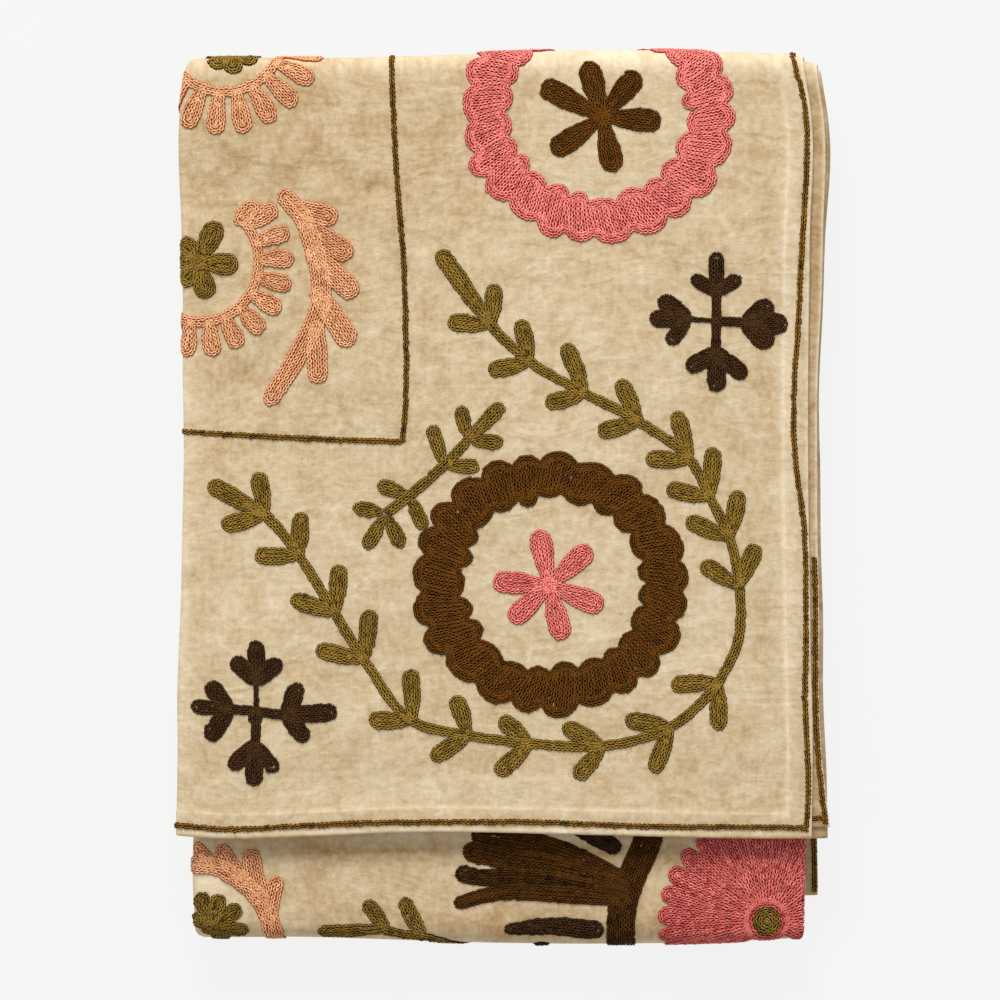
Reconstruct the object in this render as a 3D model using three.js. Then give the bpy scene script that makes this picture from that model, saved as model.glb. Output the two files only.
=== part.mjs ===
// An embroidered velvet throw, folded into a flat packet.
//
// It is one cloth, so it is one solid. The cloth is folded twice over:
//
// 1. Across its width into four panels, which make a bundle of four layers. From the top
//    they are the first, the fourth, the third and the second panel. The first and second
//    panel wrap round the other two at the left, so that side shows one full round fold.
//    The right side shows the hem of the first panel, the hem of the fourth panel just
//    past it, and the fold between the second and third panel under both.
// 2. Along its length, back and forth, into four leaves of that bundle. The top leaf ends
//    in a hem above the near edge, so a strip of the second leaf shows below it.
//
// Units are millimetres, +X is to the right, +Y is away from the near edge and +Z is up.
// The packet lies on z = 0, and its box is centred on x = 0 and y = 0.

import * as THREE from "three";

// Driving dimensions of the cloth and of the stack.
const CLOTH_THICKNESS = 1.6;
const LAYER_PITCH = 2.3; // from one layer of cloth to the next, so 0.7 of air between them
const THROW_WIDTH = 1288; // hem to hem across the four panels
const LAYERS_IN_BUNDLE = 4;
const LEAVES = 4;

// How finely each flat stretch and each fold is divided.
const STEPS = { panel: 5, wideFold: 8, tightFold: 6, leaf: 6, leafFold: 8 };

// Where the side edges lie as the cloth runs from the top leaf's end hem (along = 0) to the
// last leaf's end hem. The folds aren't parallel: the second leaf is narrower at the near
// edge than the top leaf above it, and set in from it on both sides.
const SIDE_EDGES = [
  { along: 0, topHem: 165.3, leftFold: -174.9, rightFold: 174.7, underHem: 171.7 },
  { along: 105, topHem: 164.2, leftFold: -173.6, rightFold: 170.9, underHem: 167.5 },
  { along: 212, topHem: 163.4, leftFold: -171.2, rightFold: 169.1, underHem: 168.2 },
  { along: 321, topHem: 164.2, leftFold: -172.3, rightFold: 172.8, underHem: 171.2 },
  { along: 384, topHem: 165.3, leftFold: -173.9, rightFold: 173.9, underHem: 171.7 },
  { along: 418, topHem: 160.5, leftFold: -169.3, rightFold: 169.6, underHem: 168 },
  { along: 460, topHem: 162.5, leftFold: -170.8, rightFold: 169.4, underHem: 170 },
  { along: 650, topHem: 165, leftFold: -168, rightFold: 165.2, underHem: 166.5 },
  { along: 844, topHem: 160.5, leftFold: -166.4, rightFold: 161.3, underHem: 160 },
  { along: 893, topHem: 159, leftFold: -164.4, rightFold: 160.6, underHem: 158.6 },
  { along: 1130, topHem: 166, leftFold: -167.8, rightFold: 165.4, underHem: 167 },
  { along: 1362, topHem: 165.5, leftFold: -169.4, rightFold: 167.6, underHem: 166.6 },
  { along: 1600, topHem: 166.5, leftFold: -167, rightFold: 163.6, underHem: 168.4 },
  { along: 1808, topHem: 165.6, leftFold: -164.6, rightFold: 161, underHem: 168.5 },
];

// Where the leaves turn or end, from the left side of the packet to its right.
const LEAF_ENDS = [
  { across: -174, topHem: -180.9, farFold: 234.6, nearFold: -235.2, lowFold: 231.6, lastHem: -211.6 },
  { across: -151, topHem: -182.6, farFold: 235.4, nearFold: -236, lowFold: 232.4, lastHem: -212.4 },
  { across: -108, topHem: -181.6, farFold: 236, nearFold: -236.4, lowFold: 233, lastHem: -213.2 },
  { across: -55, topHem: -179.2, farFold: 236.8, nearFold: -237.2, lowFold: 234.2, lastHem: -214 },
  { across: 52, topHem: -180.6, farFold: 239.4, nearFold: -238.9, lowFold: 235.4, lastHem: -213.4 },
  { across: 116, topHem: -182.2, farFold: 238.9, nearFold: -238.9, lowFold: 235, lastHem: -213.8 },
  { across: 153, topHem: -182.5, farFold: 237.8, nearFold: -237, lowFold: 233.6, lastHem: -213.7 },
  { across: 175, topHem: -182.3, farFold: 234.2, nearFold: -234.6, lowFold: 232.4, lastHem: -213.2 },
];

// Slow swells of the stack, as a share of its height: the lowest layer stays flat.
const SWELLS = [
  { share: 0.016, perWidth: 1.1, perLength: 0.8, shift: 0.4 },
  { share: 0.01, perWidth: 1.7, perLength: 2.3, shift: 2.1 },
];

const HALF_CLOTH = CLOTH_THICKNESS / 2;
const WIDE_RADIUS = 1.5 * LAYER_PITCH; // the fold round two inner layers
const TIGHT_RADIUS = 0.5 * LAYER_PITCH; // the fold between two layers that touch
const LEAF_PITCH = LAYERS_IN_BUNDLE * LAYER_PITCH;
const LEAF_RADIUS = LEAF_PITCH / 2;
const LEAF_REACH = LEAF_RADIUS + WIDE_RADIUS + HALF_CLOTH; // a leaf fold's outermost cloth
const PACKET_WIDTH = 350;
const PACKET_LENGTH = 478;

// The value of a column of a table at a place, straight between the two rows around it.
function columnAt(table, key, place, column) {
  const last = table.length - 1;
  let row = 0;
  while (row < last - 1 && table[row + 1][key] < place) row += 1;
  const before = table[row];
  const after = table[row + 1];
  const share = (place - before[key]) / (after[key] - before[key]);
  return THREE.MathUtils.lerp(before[column], after[column], THREE.MathUtils.clamp(share, 0, 1));
}

// The five side edges at one place along the cloth. The inner fold between the third and
// fourth panel is hidden: it lies where it makes the cloth exactly as wide as it is.
function sideEdgesAt(along) {
  const edge = {};
  for (const column of ["topHem", "leftFold", "rightFold", "underHem"])
    edge[column] = columnAt(SIDE_EDGES, "along", along, column);
  const left = edge.leftFold + WIDE_RADIUS + HALF_CLOTH;
  const right = edge.rightFold - TIGHT_RADIUS - HALF_CLOTH;
  const turns = Math.PI * (WIDE_RADIUS + 2 * TIGHT_RADIUS);
  const shown = edge.topHem - left + (right - left) + right + edge.underHem;
  const inner = (shown + turns - THROW_WIDTH) / 2;
  return { ...edge, left, right, inner };
}

// A point of the bundle's section is the middle of the cloth and the way its front faces.
// On a flat panel the front faces up (front = 1) or down (front = -1).
function flat(x, z, front) {
  return { x, z, frontX: 0, frontZ: front };
}

// On a fold, `turn` is the angle on the fold's circle, and the front faces out of that
// circle (front = 1) or into it (front = -1).
function round(centreX, centreZ, radius, turn, front) {
  const cos = Math.cos(turn);
  const sin = Math.sin(turn);
  return {
    x: centreX + radius * cos,
    z: centreZ + radius * sin,
    frontX: front * cos,
    frontZ: front * sin,
  };
}

// The section of the bundle at one place along the cloth, from the first panel's hem to
// the fourth panel's. z is counted from the middle of the four layers.
function bundleSection(along) {
  const edge = sideEdgesAt(along);
  const section = [];
  const panel = (from, to, z, front) => {
    for (let step = 0; step <= STEPS.panel; step += 1)
      section.push(flat(THREE.MathUtils.lerp(from, to, step / STEPS.panel), z, front));
  };
  const fold = (x, z, radius, from, to, front, steps) => {
    for (let step = 1; step < steps; step += 1) {
      const turn = THREE.MathUtils.lerp(from, to, step / steps);
      section.push(round(x, z, radius, turn, front));
    }
  };
  const quarter = Math.PI / 2;
  panel(edge.topHem, edge.left, WIDE_RADIUS, 1);
  fold(edge.left, 0, WIDE_RADIUS, quarter, 3 * quarter, 1, STEPS.wideFold);
  panel(edge.left, edge.right, -WIDE_RADIUS, -1);
  fold(edge.right, -LAYER_PITCH, TIGHT_RADIUS, -quarter, quarter, 1, STEPS.tightFold);
  panel(edge.right, edge.inner, -TIGHT_RADIUS, 1);
  fold(edge.inner, 0, TIGHT_RADIUS, 3 * quarter, quarter, -1, STEPS.tightFold);
  panel(edge.inner, edge.underHem, TIGHT_RADIUS, -1);
  return section;
}

// The way along the length: each station says which leaf or fold it is on and how far.
function lengthStations() {
  const stations = [];
  for (let leaf = 0; leaf < LEAVES; leaf += 1) {
    for (let step = 0; step <= STEPS.leaf; step += 1)
      stations.push({ leaf, share: step / STEPS.leaf, turn: null });
    if (leaf === LEAVES - 1) break;
    for (let step = 1; step < STEPS.leafFold; step += 1)
      stations.push({ leaf, share: 1, turn: step / STEPS.leafFold });
  }
  return stations;
}

// Where leaf number `leaf` starts and ends at a place across, in the order the cloth runs.
function leafSpan(leaf, x) {
  const end = (column) => columnAt(LEAF_ENDS, "across", x, column);
  const spans = [
    [end("topHem"), end("farFold") - LEAF_REACH],
    [end("farFold") - LEAF_REACH, end("nearFold") + LEAF_REACH],
    [end("nearFold") + LEAF_REACH, end("lowFold") - LEAF_REACH],
    [end("lowFold") - LEAF_REACH, end("lastHem")],
  ];
  return spans[leaf];
}

// The middle of leaf number `leaf` above the surface; the last leaf lies on it.
function leafHeight(leaf) {
  return WIDE_RADIUS + HALF_CLOTH + (LEAVES - 1 - leaf) * LEAF_PITCH;
}

// How far along the cloth a station is, measured down the middle of the packet.
function alongAt(station) {
  let along = 0;
  for (let leaf = 0; leaf <= station.leaf; leaf += 1) {
    const [start, end] = leafSpan(leaf, 0);
    const here = leaf === station.leaf;
    along += Math.abs(end - start) * (here ? station.share : 1);
    if (!here) along += Math.PI * LEAF_RADIUS;
  }
  return along + (station.turn ?? 0) * Math.PI * LEAF_RADIUS;
}

// A point of the bundle, at x across and `rise` above its middle, set on a leaf or bent
// round a leaf fold. Every other leaf is turned over, and so are its layers.
function placeOnLeaf(station, x, rise) {
  const { leaf, share, turn } = station;
  const [start, end] = leafSpan(leaf, x);
  const side = leaf % 2 === 0 ? 1 : -1;
  if (turn === null)
    return { y: THREE.MathUtils.lerp(start, end, share), z: leafHeight(leaf) + side * rise };
  const radius = LEAF_RADIUS + side * rise;
  const angle = Math.PI * (0.5 - turn);
  const middle = leafHeight(leaf) - LEAF_RADIUS;
  return { y: end + side * radius * Math.cos(angle), z: middle + radius * Math.sin(angle) };
}

// The stack swells a little here and there, more towards its top.
function swell(x, y) {
  let share = 1;
  for (const wave of SWELLS) {
    const across = (wave.perWidth * 2 * Math.PI * x) / PACKET_WIDTH;
    const along = (wave.perLength * 2 * Math.PI * y) / PACKET_LENGTH;
    share += wave.share * Math.sin(across + along + wave.shift) * Math.cos(along - wave.shift);
  }
  return share;
}

// The two faces of the cloth as grids of points, front face first.
function clothFaces() {
  const faces = [[], []];
  for (const station of lengthStations()) {
    const section = bundleSection(alongAt(station));
    faces.forEach((face, index) => {
      const offset = index === 0 ? HALF_CLOTH : -HALF_CLOTH;
      face.push(
        section.map((point) => {
          const x = point.x + offset * point.frontX;
          const { y, z } = placeOnLeaf(station, x, point.z + offset * point.frontZ);
          return [x, y, z * swell(x, y)];
        }),
      );
    });
  }
  return faces;
}

// A closed skin over both faces: the faces themselves, and a narrow wall on each hem.
function clothGeometry() {
  const faces = clothFaces();
  const rows = faces[0].length;
  const columns = faces[0][0].length;
  const lastRow = rows - 1;
  const lastColumn = columns - 1;
  const front = (row, column) => row * columns + column;
  const back = (row, column) => (rows + row) * columns + column;
  const triangles = [];
  const quad = (a, b, c, d) => triangles.push(a, b, c, a, c, d);
  for (let row = 0; row < lastRow; row += 1) {
    const on = row + 1;
    for (let column = 0; column < lastColumn; column += 1) {
      const beside = column + 1;
      quad(front(row, column), front(on, column), front(on, beside), front(row, beside));
      quad(back(row, column), back(row, beside), back(on, beside), back(on, column));
    }
    quad(front(row, 0), back(row, 0), back(on, 0), front(on, 0));
    quad(front(row, lastColumn), front(on, lastColumn), back(on, lastColumn), back(row, lastColumn));
  }
  for (let column = 0; column < lastColumn; column += 1) {
    const beside = column + 1;
    quad(front(0, column), front(0, beside), back(0, beside), back(0, column));
    quad(front(lastRow, column), back(lastRow, column), back(lastRow, beside), front(lastRow, beside));
  }
  const geometry = new THREE.BufferGeometry();
  geometry.setAttribute("position", new THREE.Float32BufferAttribute(faces.flat(3), 3));
  geometry.setIndex(triangles);
  geometry.computeVertexNormals();
  return geometry;
}

// Moves a geometry so that its box is centred on x = 0 and y = 0 and stands on z = 0.
function centredOnItsBox(geometry) {
  geometry.computeBoundingBox();
  const { min, max } = geometry.boundingBox;
  geometry.translate(-(min.x + max.x) / 2, -(min.y + max.y) / 2, -min.z);
  return geometry;
}

const velvet = new THREE.MeshStandardMaterial({
  color: 0xd9c7a2,
  roughness: 0.85,
  metalness: 0,
  name: "beige_velvet",
});

const throwCloth = new THREE.Mesh(centredOnItsBox(clothGeometry()), velvet);
throwCloth.name = "throw_cloth";

const group = new THREE.Group();
group.add(throwCloth);

export default group;
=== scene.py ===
# %% [markdown]
# # An embroidered velvet throw, folded into a flat packet
#
# The real thing is one length of beige cotton velvet, hemmed all round and worked with chain
# stitch. It is folded across its width into four panels and then along its length into four
# leaves, so sixteen layers lie on each other. This lesson builds it in the order a maker would
# work: the cloth and its folds first, then the embroidery that lies on the cloth, then the
# finishes, and last the light. The folded solid is read first, because every piece here has to
# lie in the space which that solid holds.

# %% Read the folded solid
import math

import bpy
import numpy as np
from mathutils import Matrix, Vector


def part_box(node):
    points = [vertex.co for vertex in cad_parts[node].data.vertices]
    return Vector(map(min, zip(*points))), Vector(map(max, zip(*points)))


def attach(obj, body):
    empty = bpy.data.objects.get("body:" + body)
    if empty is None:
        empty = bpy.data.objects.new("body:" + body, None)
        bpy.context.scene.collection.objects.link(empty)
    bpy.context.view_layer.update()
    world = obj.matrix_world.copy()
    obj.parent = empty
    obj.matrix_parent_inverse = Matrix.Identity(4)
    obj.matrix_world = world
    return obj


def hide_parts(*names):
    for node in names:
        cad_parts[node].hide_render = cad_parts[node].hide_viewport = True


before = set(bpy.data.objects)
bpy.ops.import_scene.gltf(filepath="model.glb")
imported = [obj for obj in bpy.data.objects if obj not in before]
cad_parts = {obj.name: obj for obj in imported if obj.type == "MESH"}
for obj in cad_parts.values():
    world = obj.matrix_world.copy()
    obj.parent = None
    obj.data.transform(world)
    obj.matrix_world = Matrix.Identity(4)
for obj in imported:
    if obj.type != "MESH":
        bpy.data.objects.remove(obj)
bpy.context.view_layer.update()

solid_low, solid_high = (np.array(corner) * 1000 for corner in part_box("throw_cloth"))
print("solid, mm:", np.round(solid_low, 1), "to", np.round(solid_high, 1))

# %% [markdown]
# ## Sizes of the cloth
#
# Cloth is easiest to think of flat. Three numbers give any point of it: how far `across` from the
# first side hem, how far `along` from the first end hem, and how high over the middle of the
# cloth. Folding is then one rule that turns those three numbers into a place in the packet, and
# stitches that are laid out on the flat cloth fold with it. The two tables hold where the side
# edges and the leaf ends lie, because the folds of a real packet are never quite parallel.

# %% The cloth and the stack, in millimetres
THICKNESS = 1.6
LAYER_PITCH = 2.3
THROW_WIDTH = 1288.0
HALF_CLOTH = THICKNESS / 2
WIDE_RADIUS = 1.5 * LAYER_PITCH
TIGHT_RADIUS = 0.5 * LAYER_PITCH
LEAVES = 4
LEAF_PITCH = 4 * LAYER_PITCH
LEAF_RADIUS = LEAF_PITCH / 2
LEAF_REACH = LEAF_RADIUS + WIDE_RADIUS + HALF_CLOTH
PACKET_WIDTH, PACKET_LENGTH = 350.0, 478.0
HALF_WIDE, HALF_LONG = 174.0, 238.0

# How far across the first panel ends, and from where on the cloth lies under other layers.
FIRST_PANEL, UNDER_LAYERS = 330.0, 420.0

# Columns: along, first side hem, left fold, right fold, last side hem.
SIDE_EDGES = np.array([
    (0, 165.3, -174.9, 173.4, 175.2), (45, 165.8, -174.4, 172.8, 170.6),
    (105, 164.6, -173.6, 171.6, 169.2), (212, 163.4, -171.2, 169.1, 168.2),
    (321, 164.2, -172.3, 172.8, 171.2), (384, 165.3, -173.9, 173.9, 171.7),
    (418, 160.5, -169.3, 169.6, 168.0), (460, 162.5, -170.8, 169.4, 170.0),
    (650, 165.0, -168.0, 165.2, 166.5), (844, 160.5, -166.4, 161.3, 160.0),
    (893, 159.0, -164.4, 160.6, 158.6), (1130, 166.0, -167.8, 165.4, 167.0),
    (1362, 165.5, -169.4, 167.6, 166.6), (1600, 166.5, -167.0, 163.6, 168.4),
    (1808, 165.6, -164.6, 161.0, 168.5),
])

# Columns: x, first end hem, far fold, near fold, low fold, last end hem.
LEAF_ENDS = np.array([
    (-174, -180.9, 234.6, -235.2, 231.6, -211.6), (-151, -182.6, 235.4, -236.0, 232.4, -212.4),
    (-108, -181.6, 236.0, -236.4, 233.0, -213.2), (-55, -179.2, 236.8, -237.2, 234.2, -214.0),
    (52, -180.6, 239.4, -238.9, 235.4, -213.4), (116, -182.2, 238.9, -238.9, 235.0, -213.8),
    (153, -182.5, 237.8, -237.0, 233.6, -213.7), (175, -182.3, 234.2, -234.6, 232.4, -213.2),
])


def table_at(table, place):
    """Every column of a table at a place, as a smooth curve through its rows.

    Between two rows the curve blends their values v and slopes s with Hermite's cubics of the
    share t of the way: (2t^3-3t^2+1)v0 + (t^3-2t^2+t)s0 + (3t^2-2t^3)v1 + (t^3-t^2)s1.
    """
    places, columns = table[:, 0], table[:, 1:]
    slopes = np.gradient(columns, places, axis=0)
    place = np.clip(place, places[0], places[-1])
    row = np.clip(np.searchsorted(places, place) - 1, 0, len(places) - 2)
    run = places[row + 1] - places[row]
    t = ((place - places[row]) / run)[..., None]
    run = run[..., None]
    curve = (
        (2 * t**3 - 3 * t**2 + 1) * columns[row]
        + (t**3 - 2 * t**2 + t) * run * slopes[row]
        + (3 * t**2 - 2 * t**3) * columns[row + 1]
        + (t**3 - t**2) * run * slopes[row + 1]
    )
    return np.moveaxis(curve, -1, 0)


print("side edges at the first end hem:", np.round(table_at(SIDE_EDGES, np.array(0.0)), 1))

# %% [markdown]
# ## The first folding: four panels across
#
# Seen from its end, the bundle is a flat spiral of four layers. Every stretch of it, flat or
# bent, is written as a point on a circle. On a bend the angle grows and the centre stays; on a
# flat stretch the angle stays and the centre slides. That makes one formula do for all seven
# stretches, and it keeps the layers the same distance apart all the way round a fold.

# %% Fold across
def side_folds(along):
    """The bends' centres: each table edge moved in by the bend's radius and half the cloth.

    The inner bend between the third and fourth panel is where the width adds up to the cloth's:
    (shown panels + the three half circles - the cloth's width) / 2.
    """
    first_hem, left, right, last_hem = table_at(SIDE_EDGES, along)
    left = left + WIDE_RADIUS + HALF_CLOTH
    right = right - TIGHT_RADIUS - HALF_CLOTH
    bends = math.pi * (WIDE_RADIUS + 2 * TIGHT_RADIUS)
    inner = (first_hem - 2 * left + 2 * right + last_hem + bends - THROW_WIDTH) / 2
    return first_hem, left, right, inner, last_hem


def stretch_starts(along):
    """How far across each of the seven stretches starts: the lengths before it, added up."""
    first_hem, left, right, inner, _ = side_folds(along)
    wide, tight = math.pi * WIDE_RADIUS, math.pi * TIGHT_RADIUS
    lengths = (first_hem - left, wide, right - left, tight, right - inner, tight)
    return np.cumsum(np.array(np.broadcast_arrays(*lengths)), axis=0)


def fold_across(across, along, height):
    """x and the rise in the bundle: centre + (radius + facing * height) * (cos, sin) of angle.

    Facing is 1 where the cloth's front looks out of its circle and -1 where it looks in.
    """
    across, along, height = np.broadcast_arrays(across, along, height)
    first_hem, left, right, inner, _ = side_folds(along)
    s1, s2, s3, s4, s5, s6 = stretch_starts(along)
    before = [across < s for s in (s1, s2, s3, s4, s5, s6)]
    up, down = math.pi / 2, 3 * math.pi / 2
    centre = np.select(before, [first_hem - across, left, left + across - s2, right,
                                right + s4 - across, inner], inner + across - s6)
    drop = np.select([across < s3, across < s5], [0.0, -LAYER_PITCH], 0.0)
    radius = np.where(across < s3, WIDE_RADIUS, TIGHT_RADIUS)
    angle = np.select(before, [up, up + (across - s1) / WIDE_RADIUS, down,
                               -up + (across - s3) / TIGHT_RADIUS, up,
                               down - (across - s5) / TIGHT_RADIUS], up)
    reach = radius + np.where(across < s5, 1.0, -1.0) * height
    return centre + reach * np.cos(angle), drop + reach * np.sin(angle)


rim = fold_across(np.array([0.0, 400.0, THROW_WIDTH]), np.array(0.0), 0.0)
print("x and rise at the first hem, in the second panel and at the last hem:", np.round(rim, 1))

# %% [markdown]
# ## The second folding: four leaves along
#
# The same trick folds the bundle back and forth along its length. Every other leaf is turned
# over, so its layers are upside down, and the bundle bends round half circles between the
# leaves. At the end the whole stack is softened: the folds of thick velvet bulge and sag, one
# leaf slides a little over the next, and the top sinks in a few soft troughs. Because the
# softening moves points and not pieces, the layers stay clear of each other.

# %% Fold along
def leaf_spans(x):
    """Where each leaf starts and ends at x, in the order the cloth runs."""
    first_end, far, near, low, last_end = table_at(LEAF_ENDS, x)
    far, near, low = far - LEAF_REACH, near + LEAF_REACH, low - LEAF_REACH
    return [(first_end, far), (far, near), (near, low), (low, last_end)]


middle_spans = [(float(start), float(end)) for start, end in leaf_spans(np.array(0.0))]
leaf_lengths = [abs(end - start) for start, end in middle_spans]
leaf_starts = [sum(leaf_lengths[:leaf]) + leaf * math.pi * LEAF_RADIUS for leaf in range(LEAVES)]
THROW_LENGTH = leaf_starts[-1] + leaf_lengths[-1]


def leaf_middle(leaf):
    """Height of a leaf's middle: half a bundle, and a leaf's pitch for each leaf under it."""
    return WIDE_RADIUS + HALF_CLOTH + (LEAVES - 1 - leaf) * LEAF_PITCH


def fold_along(x, rise, along):
    """y and z: straight on a leaf, and on a fold end + side * (radius + side * rise) * (cos, sin)."""
    x, rise, along = np.broadcast_arrays(x, rise, along)
    spans = leaf_spans(x)
    y, z = np.zeros_like(x, dtype=float), np.zeros_like(x, dtype=float)
    for leaf in range(LEAVES):
        start, end = spans[leaf]
        side = 1 if leaf % 2 == 0 else -1
        share = (along - leaf_starts[leaf]) / leaf_lengths[leaf]
        first, last = leaf == 0, leaf == LEAVES - 1
        on_leaf = (share >= 0) & (share <= 1) | first & (share < 0) | last & (share > 1)
        y = np.where(on_leaf, start + (end - start) * share, y)
        z = np.where(on_leaf, leaf_middle(leaf) + side * rise, z)
        turn = (along - leaf_starts[leaf] - leaf_lengths[leaf]) / LEAF_RADIUS
        on_fold = (turn > 0) & (turn < math.pi) & (not last)
        reach = LEAF_RADIUS + side * rise
        y = np.where(on_fold, end + side * reach * np.sin(turn), y)
        z = np.where(on_fold, leaf_middle(leaf) - LEAF_RADIUS + reach * np.cos(turn), z)
    return y, z


print("cloth, mm:", THROW_WIDTH, "x", round(THROW_LENGTH, 1), "in leaves of", np.round(leaf_lengths, 1))

# %% Soften the stack
# Columns: x and y of the middle, reach along and across its length, its direction in degrees,
# and how far the top sinks (less than 0: rises).
TROUGHS = np.array([
    (-143.4, 164.5, 40.1, 10.7, -8.0, 1.3), (-84.5, 170.9, 24.1, 4.8, -22.0, 1.0),
    (-81.9, 156.5, 29.4, 4.3, -30.0, -0.8), (-162.1, 89.6, 11.8, 32.1, 8.0, 1.2),
    (-127.3, 65.5, 32.1, 11.8, 35.0, 0.9), (-23.0, 164.5, 16.1, 32.1, 10.0, 0.9),
    (105.4, 132.4, 26.8, 9.6, 15.0, -0.7), (137.5, 14.7, 8.6, 37.5, 6.0, 1.0),
    (73.3, -1.3, 32.1, 10.7, -35.0, 0.7), (-108.6, -65.5, 32.1, 12.8, 20.0, -0.8),
    (-92.6, -151.1, 42.8, 7.5, 3.0, 0.8), (30.5, -156.5, 37.5, 6.4, -4.0, -0.6),
    (105.4, -76.2, 13.9, 26.8, -20.0, 0.8), (-146.1, -33.4, 9.6, 32.1, 0.0, 0.8),
    (-12.3, -76.2, 21.4, 8.6, 60.0, -0.6), (137.5, -151.1, 26.8, 8.6, -12.0, 0.7),
])
# Each wave's amount, waves per width and per length of the packet, and shift.
SWELLS = [(0.016, 1.1, 0.8, 0.4), (0.010, 1.7, 2.3, 2.1)]
ROUNDING = 10.0
ROUNDED_DROP = 1.3


def spots(table, x, y):
    """Soft spots added up, each its amount times exp(-(p/reach)^2 - (q/width)^2).

    p and q are how far a place lies from the spot's middle, along and across its direction.
    """
    total = np.zeros_like(x)
    for middle_x, middle_y, reach, width, degrees, amount in table:
        cos, sin = math.cos(math.radians(degrees)), math.sin(math.radians(degrees))
        p = (x - middle_x) * cos + (y - middle_y) * sin
        q = (y - middle_y) * cos - (x - middle_x) * sin
        total = total + amount * np.exp(-((p / reach) ** 2) - (q / width) ** 2)
    return total


def soften(x, y, z):
    """z * (1 + waves) - (z/top)^2 * (troughs + rounded rim) + unevenness; x and y slide a little.

    The rounded rim is exp(-d/10) of the distance d from the packet's edges. The layers slide by
    slow waves of y and z that fade out towards the top leaf.
    """
    share = np.ones_like(x)
    for amount, per_width, per_length, shift in SWELLS:
        a = 2 * math.pi * per_width * x / PACKET_WIDTH
        b = 2 * math.pi * per_length * y / PACKET_LENGTH
        share = share + amount * np.sin(a + b + shift) * np.cos(b - shift)
    top = LEAF_PITCH * LEAVES
    level = np.clip(z / top, 0, 1)
    from_side, from_end = HALF_WIDE - np.abs(x), HALF_LONG - np.abs(y)
    rim = np.exp(-(from_side / ROUNDING).clip(0)) + np.exp(-(from_end / ROUNDING).clip(0))
    uneven = 0.45 * np.sin(z / 2.9 + x / 47 + 1.3 * np.sin(y / 61)) * np.sin(math.pi * level)
    sunk = spots(TROUGHS, x, y) + ROUNDED_DROP * rim
    lowered = np.maximum(z * share - level**2 * sunk + uneven, 0)
    under = 1 - level**4
    waves = 0.9 * np.sin(y / 31 + z / 3.7) + 0.5 * np.sin(y / 13 - z / 5)
    slid_x = x + under * waves * np.abs(x) / HALF_WIDE
    slid_y = y + under * 0.8 * np.sin(x / 37 + z / 4.1) * (np.abs(y) / HALF_LONG) ** 4
    return slid_x, slid_y, lowered


CENTRING = np.array([0.1, -0.1, 0.0])
DRAWN_BACK, DRAWN_FROM, DRAWN_WIDTH, DRAWN_LENGTH = 6.0, 1120.0, 160.0, 40.0


def place(across, along, height):
    """A point of the flat cloth in the folded packet: fold across, fold along, then soften.

    The fourth panel's corner lies drawn back: by 6 mm times the square of its share of the way
    to the hem, times exp(-along / 40).
    """
    x, rise = fold_across(across, along, height)
    y, z = fold_along(x, rise, along)
    share = np.clip((across - DRAWN_FROM) / DRAWN_WIDTH, 0, 1)
    y = y + DRAWN_BACK * share**2 * np.exp(-np.maximum(along, 0) / DRAWN_LENGTH)
    return np.stack(soften(x, y, z), axis=-1) + CENTRING


print("middle of the top, mm:", np.round(place(np.array(165.0), np.array(200.0), 0.8), 1))

# %% [markdown]
# ## The cloth
#
# The cloth is one closed skin: a loop of points that runs over the front, round one hem, back
# under and round the other hem, carried along the whole length. The points lie close together
# where the eye goes, on the top leaf, and wider apart inside the stack. A turned hem is a second
# thickness for thirteen millimetres, so there the skin stands off further from the cloth's middle,
# with a soft step where the turning ends and a dimple under the chain line that holds it. The
# folds wander, so the points across are marked once and then stretched, row by row, to keep
# their places in the bends.

# %% Hems
HEM_WIDTH = 13.4
HEM_EXTRA = 0.3
TOP_HEM_EXTRA = 0.45
CHAIN_INSET = 4.0
INSIDE_HEM = 16.0


def step_up(distance, at, soft):
    """0 below at and 1 above it, with a smooth 3t^2 - 2t^3 rise of width soft between."""
    t = np.clip((distance - at) / soft + 0.5, 0, 1)
    return t * t * (3 - 2 * t)


def from_edge(across, along):
    """Distance from the nearest edge of the flat cloth."""
    from_side = np.minimum(across, THROW_WIDTH - across)
    return np.minimum(from_side, np.minimum(along, THROW_LENGTH - along))


def front_height(across, along):
    """Height of the front over the cloth's middle: half the cloth, and in a hem the turned edge.

    The turned edge ends in a soft step at the hem's width. Nothing lies on the top leaf's first
    panel, so there the hem swells more, with a dimple exp(-(d/1.6)^2) along the chain line.
    """
    distance = from_edge(across, along)
    in_hem = 1 - step_up(distance, HEM_WIDTH, 1.6)
    on_top = (across < FIRST_PANEL) & (along < fold_starts[0] + 12)
    dimple = 0.35 * np.exp(-(((distance - CHAIN_INSET) / 1.6) ** 2))
    return HALF_CLOTH + in_hem * (HEM_EXTRA + on_top * (TOP_HEM_EXTRA - dimple))


fold_starts = [start + length for start, length in zip(leaf_starts, leaf_lengths)]
print("front height in the top hem and past it:", front_height(np.array([9.0, 40.0]), 90.0).round(2))

# %% Stations across and along
def even(start, end, step):
    """Evenly spaced numbers from start up to but not including end, about step apart."""
    return np.linspace(start, end, max(int(round((end - start) / step)), 1), endpoint=False)


MARKED_ALONG = 200.0
s1, s2, s3, s4, s5, s6 = stretch_starts(np.array(MARKED_ALONG))
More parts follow.
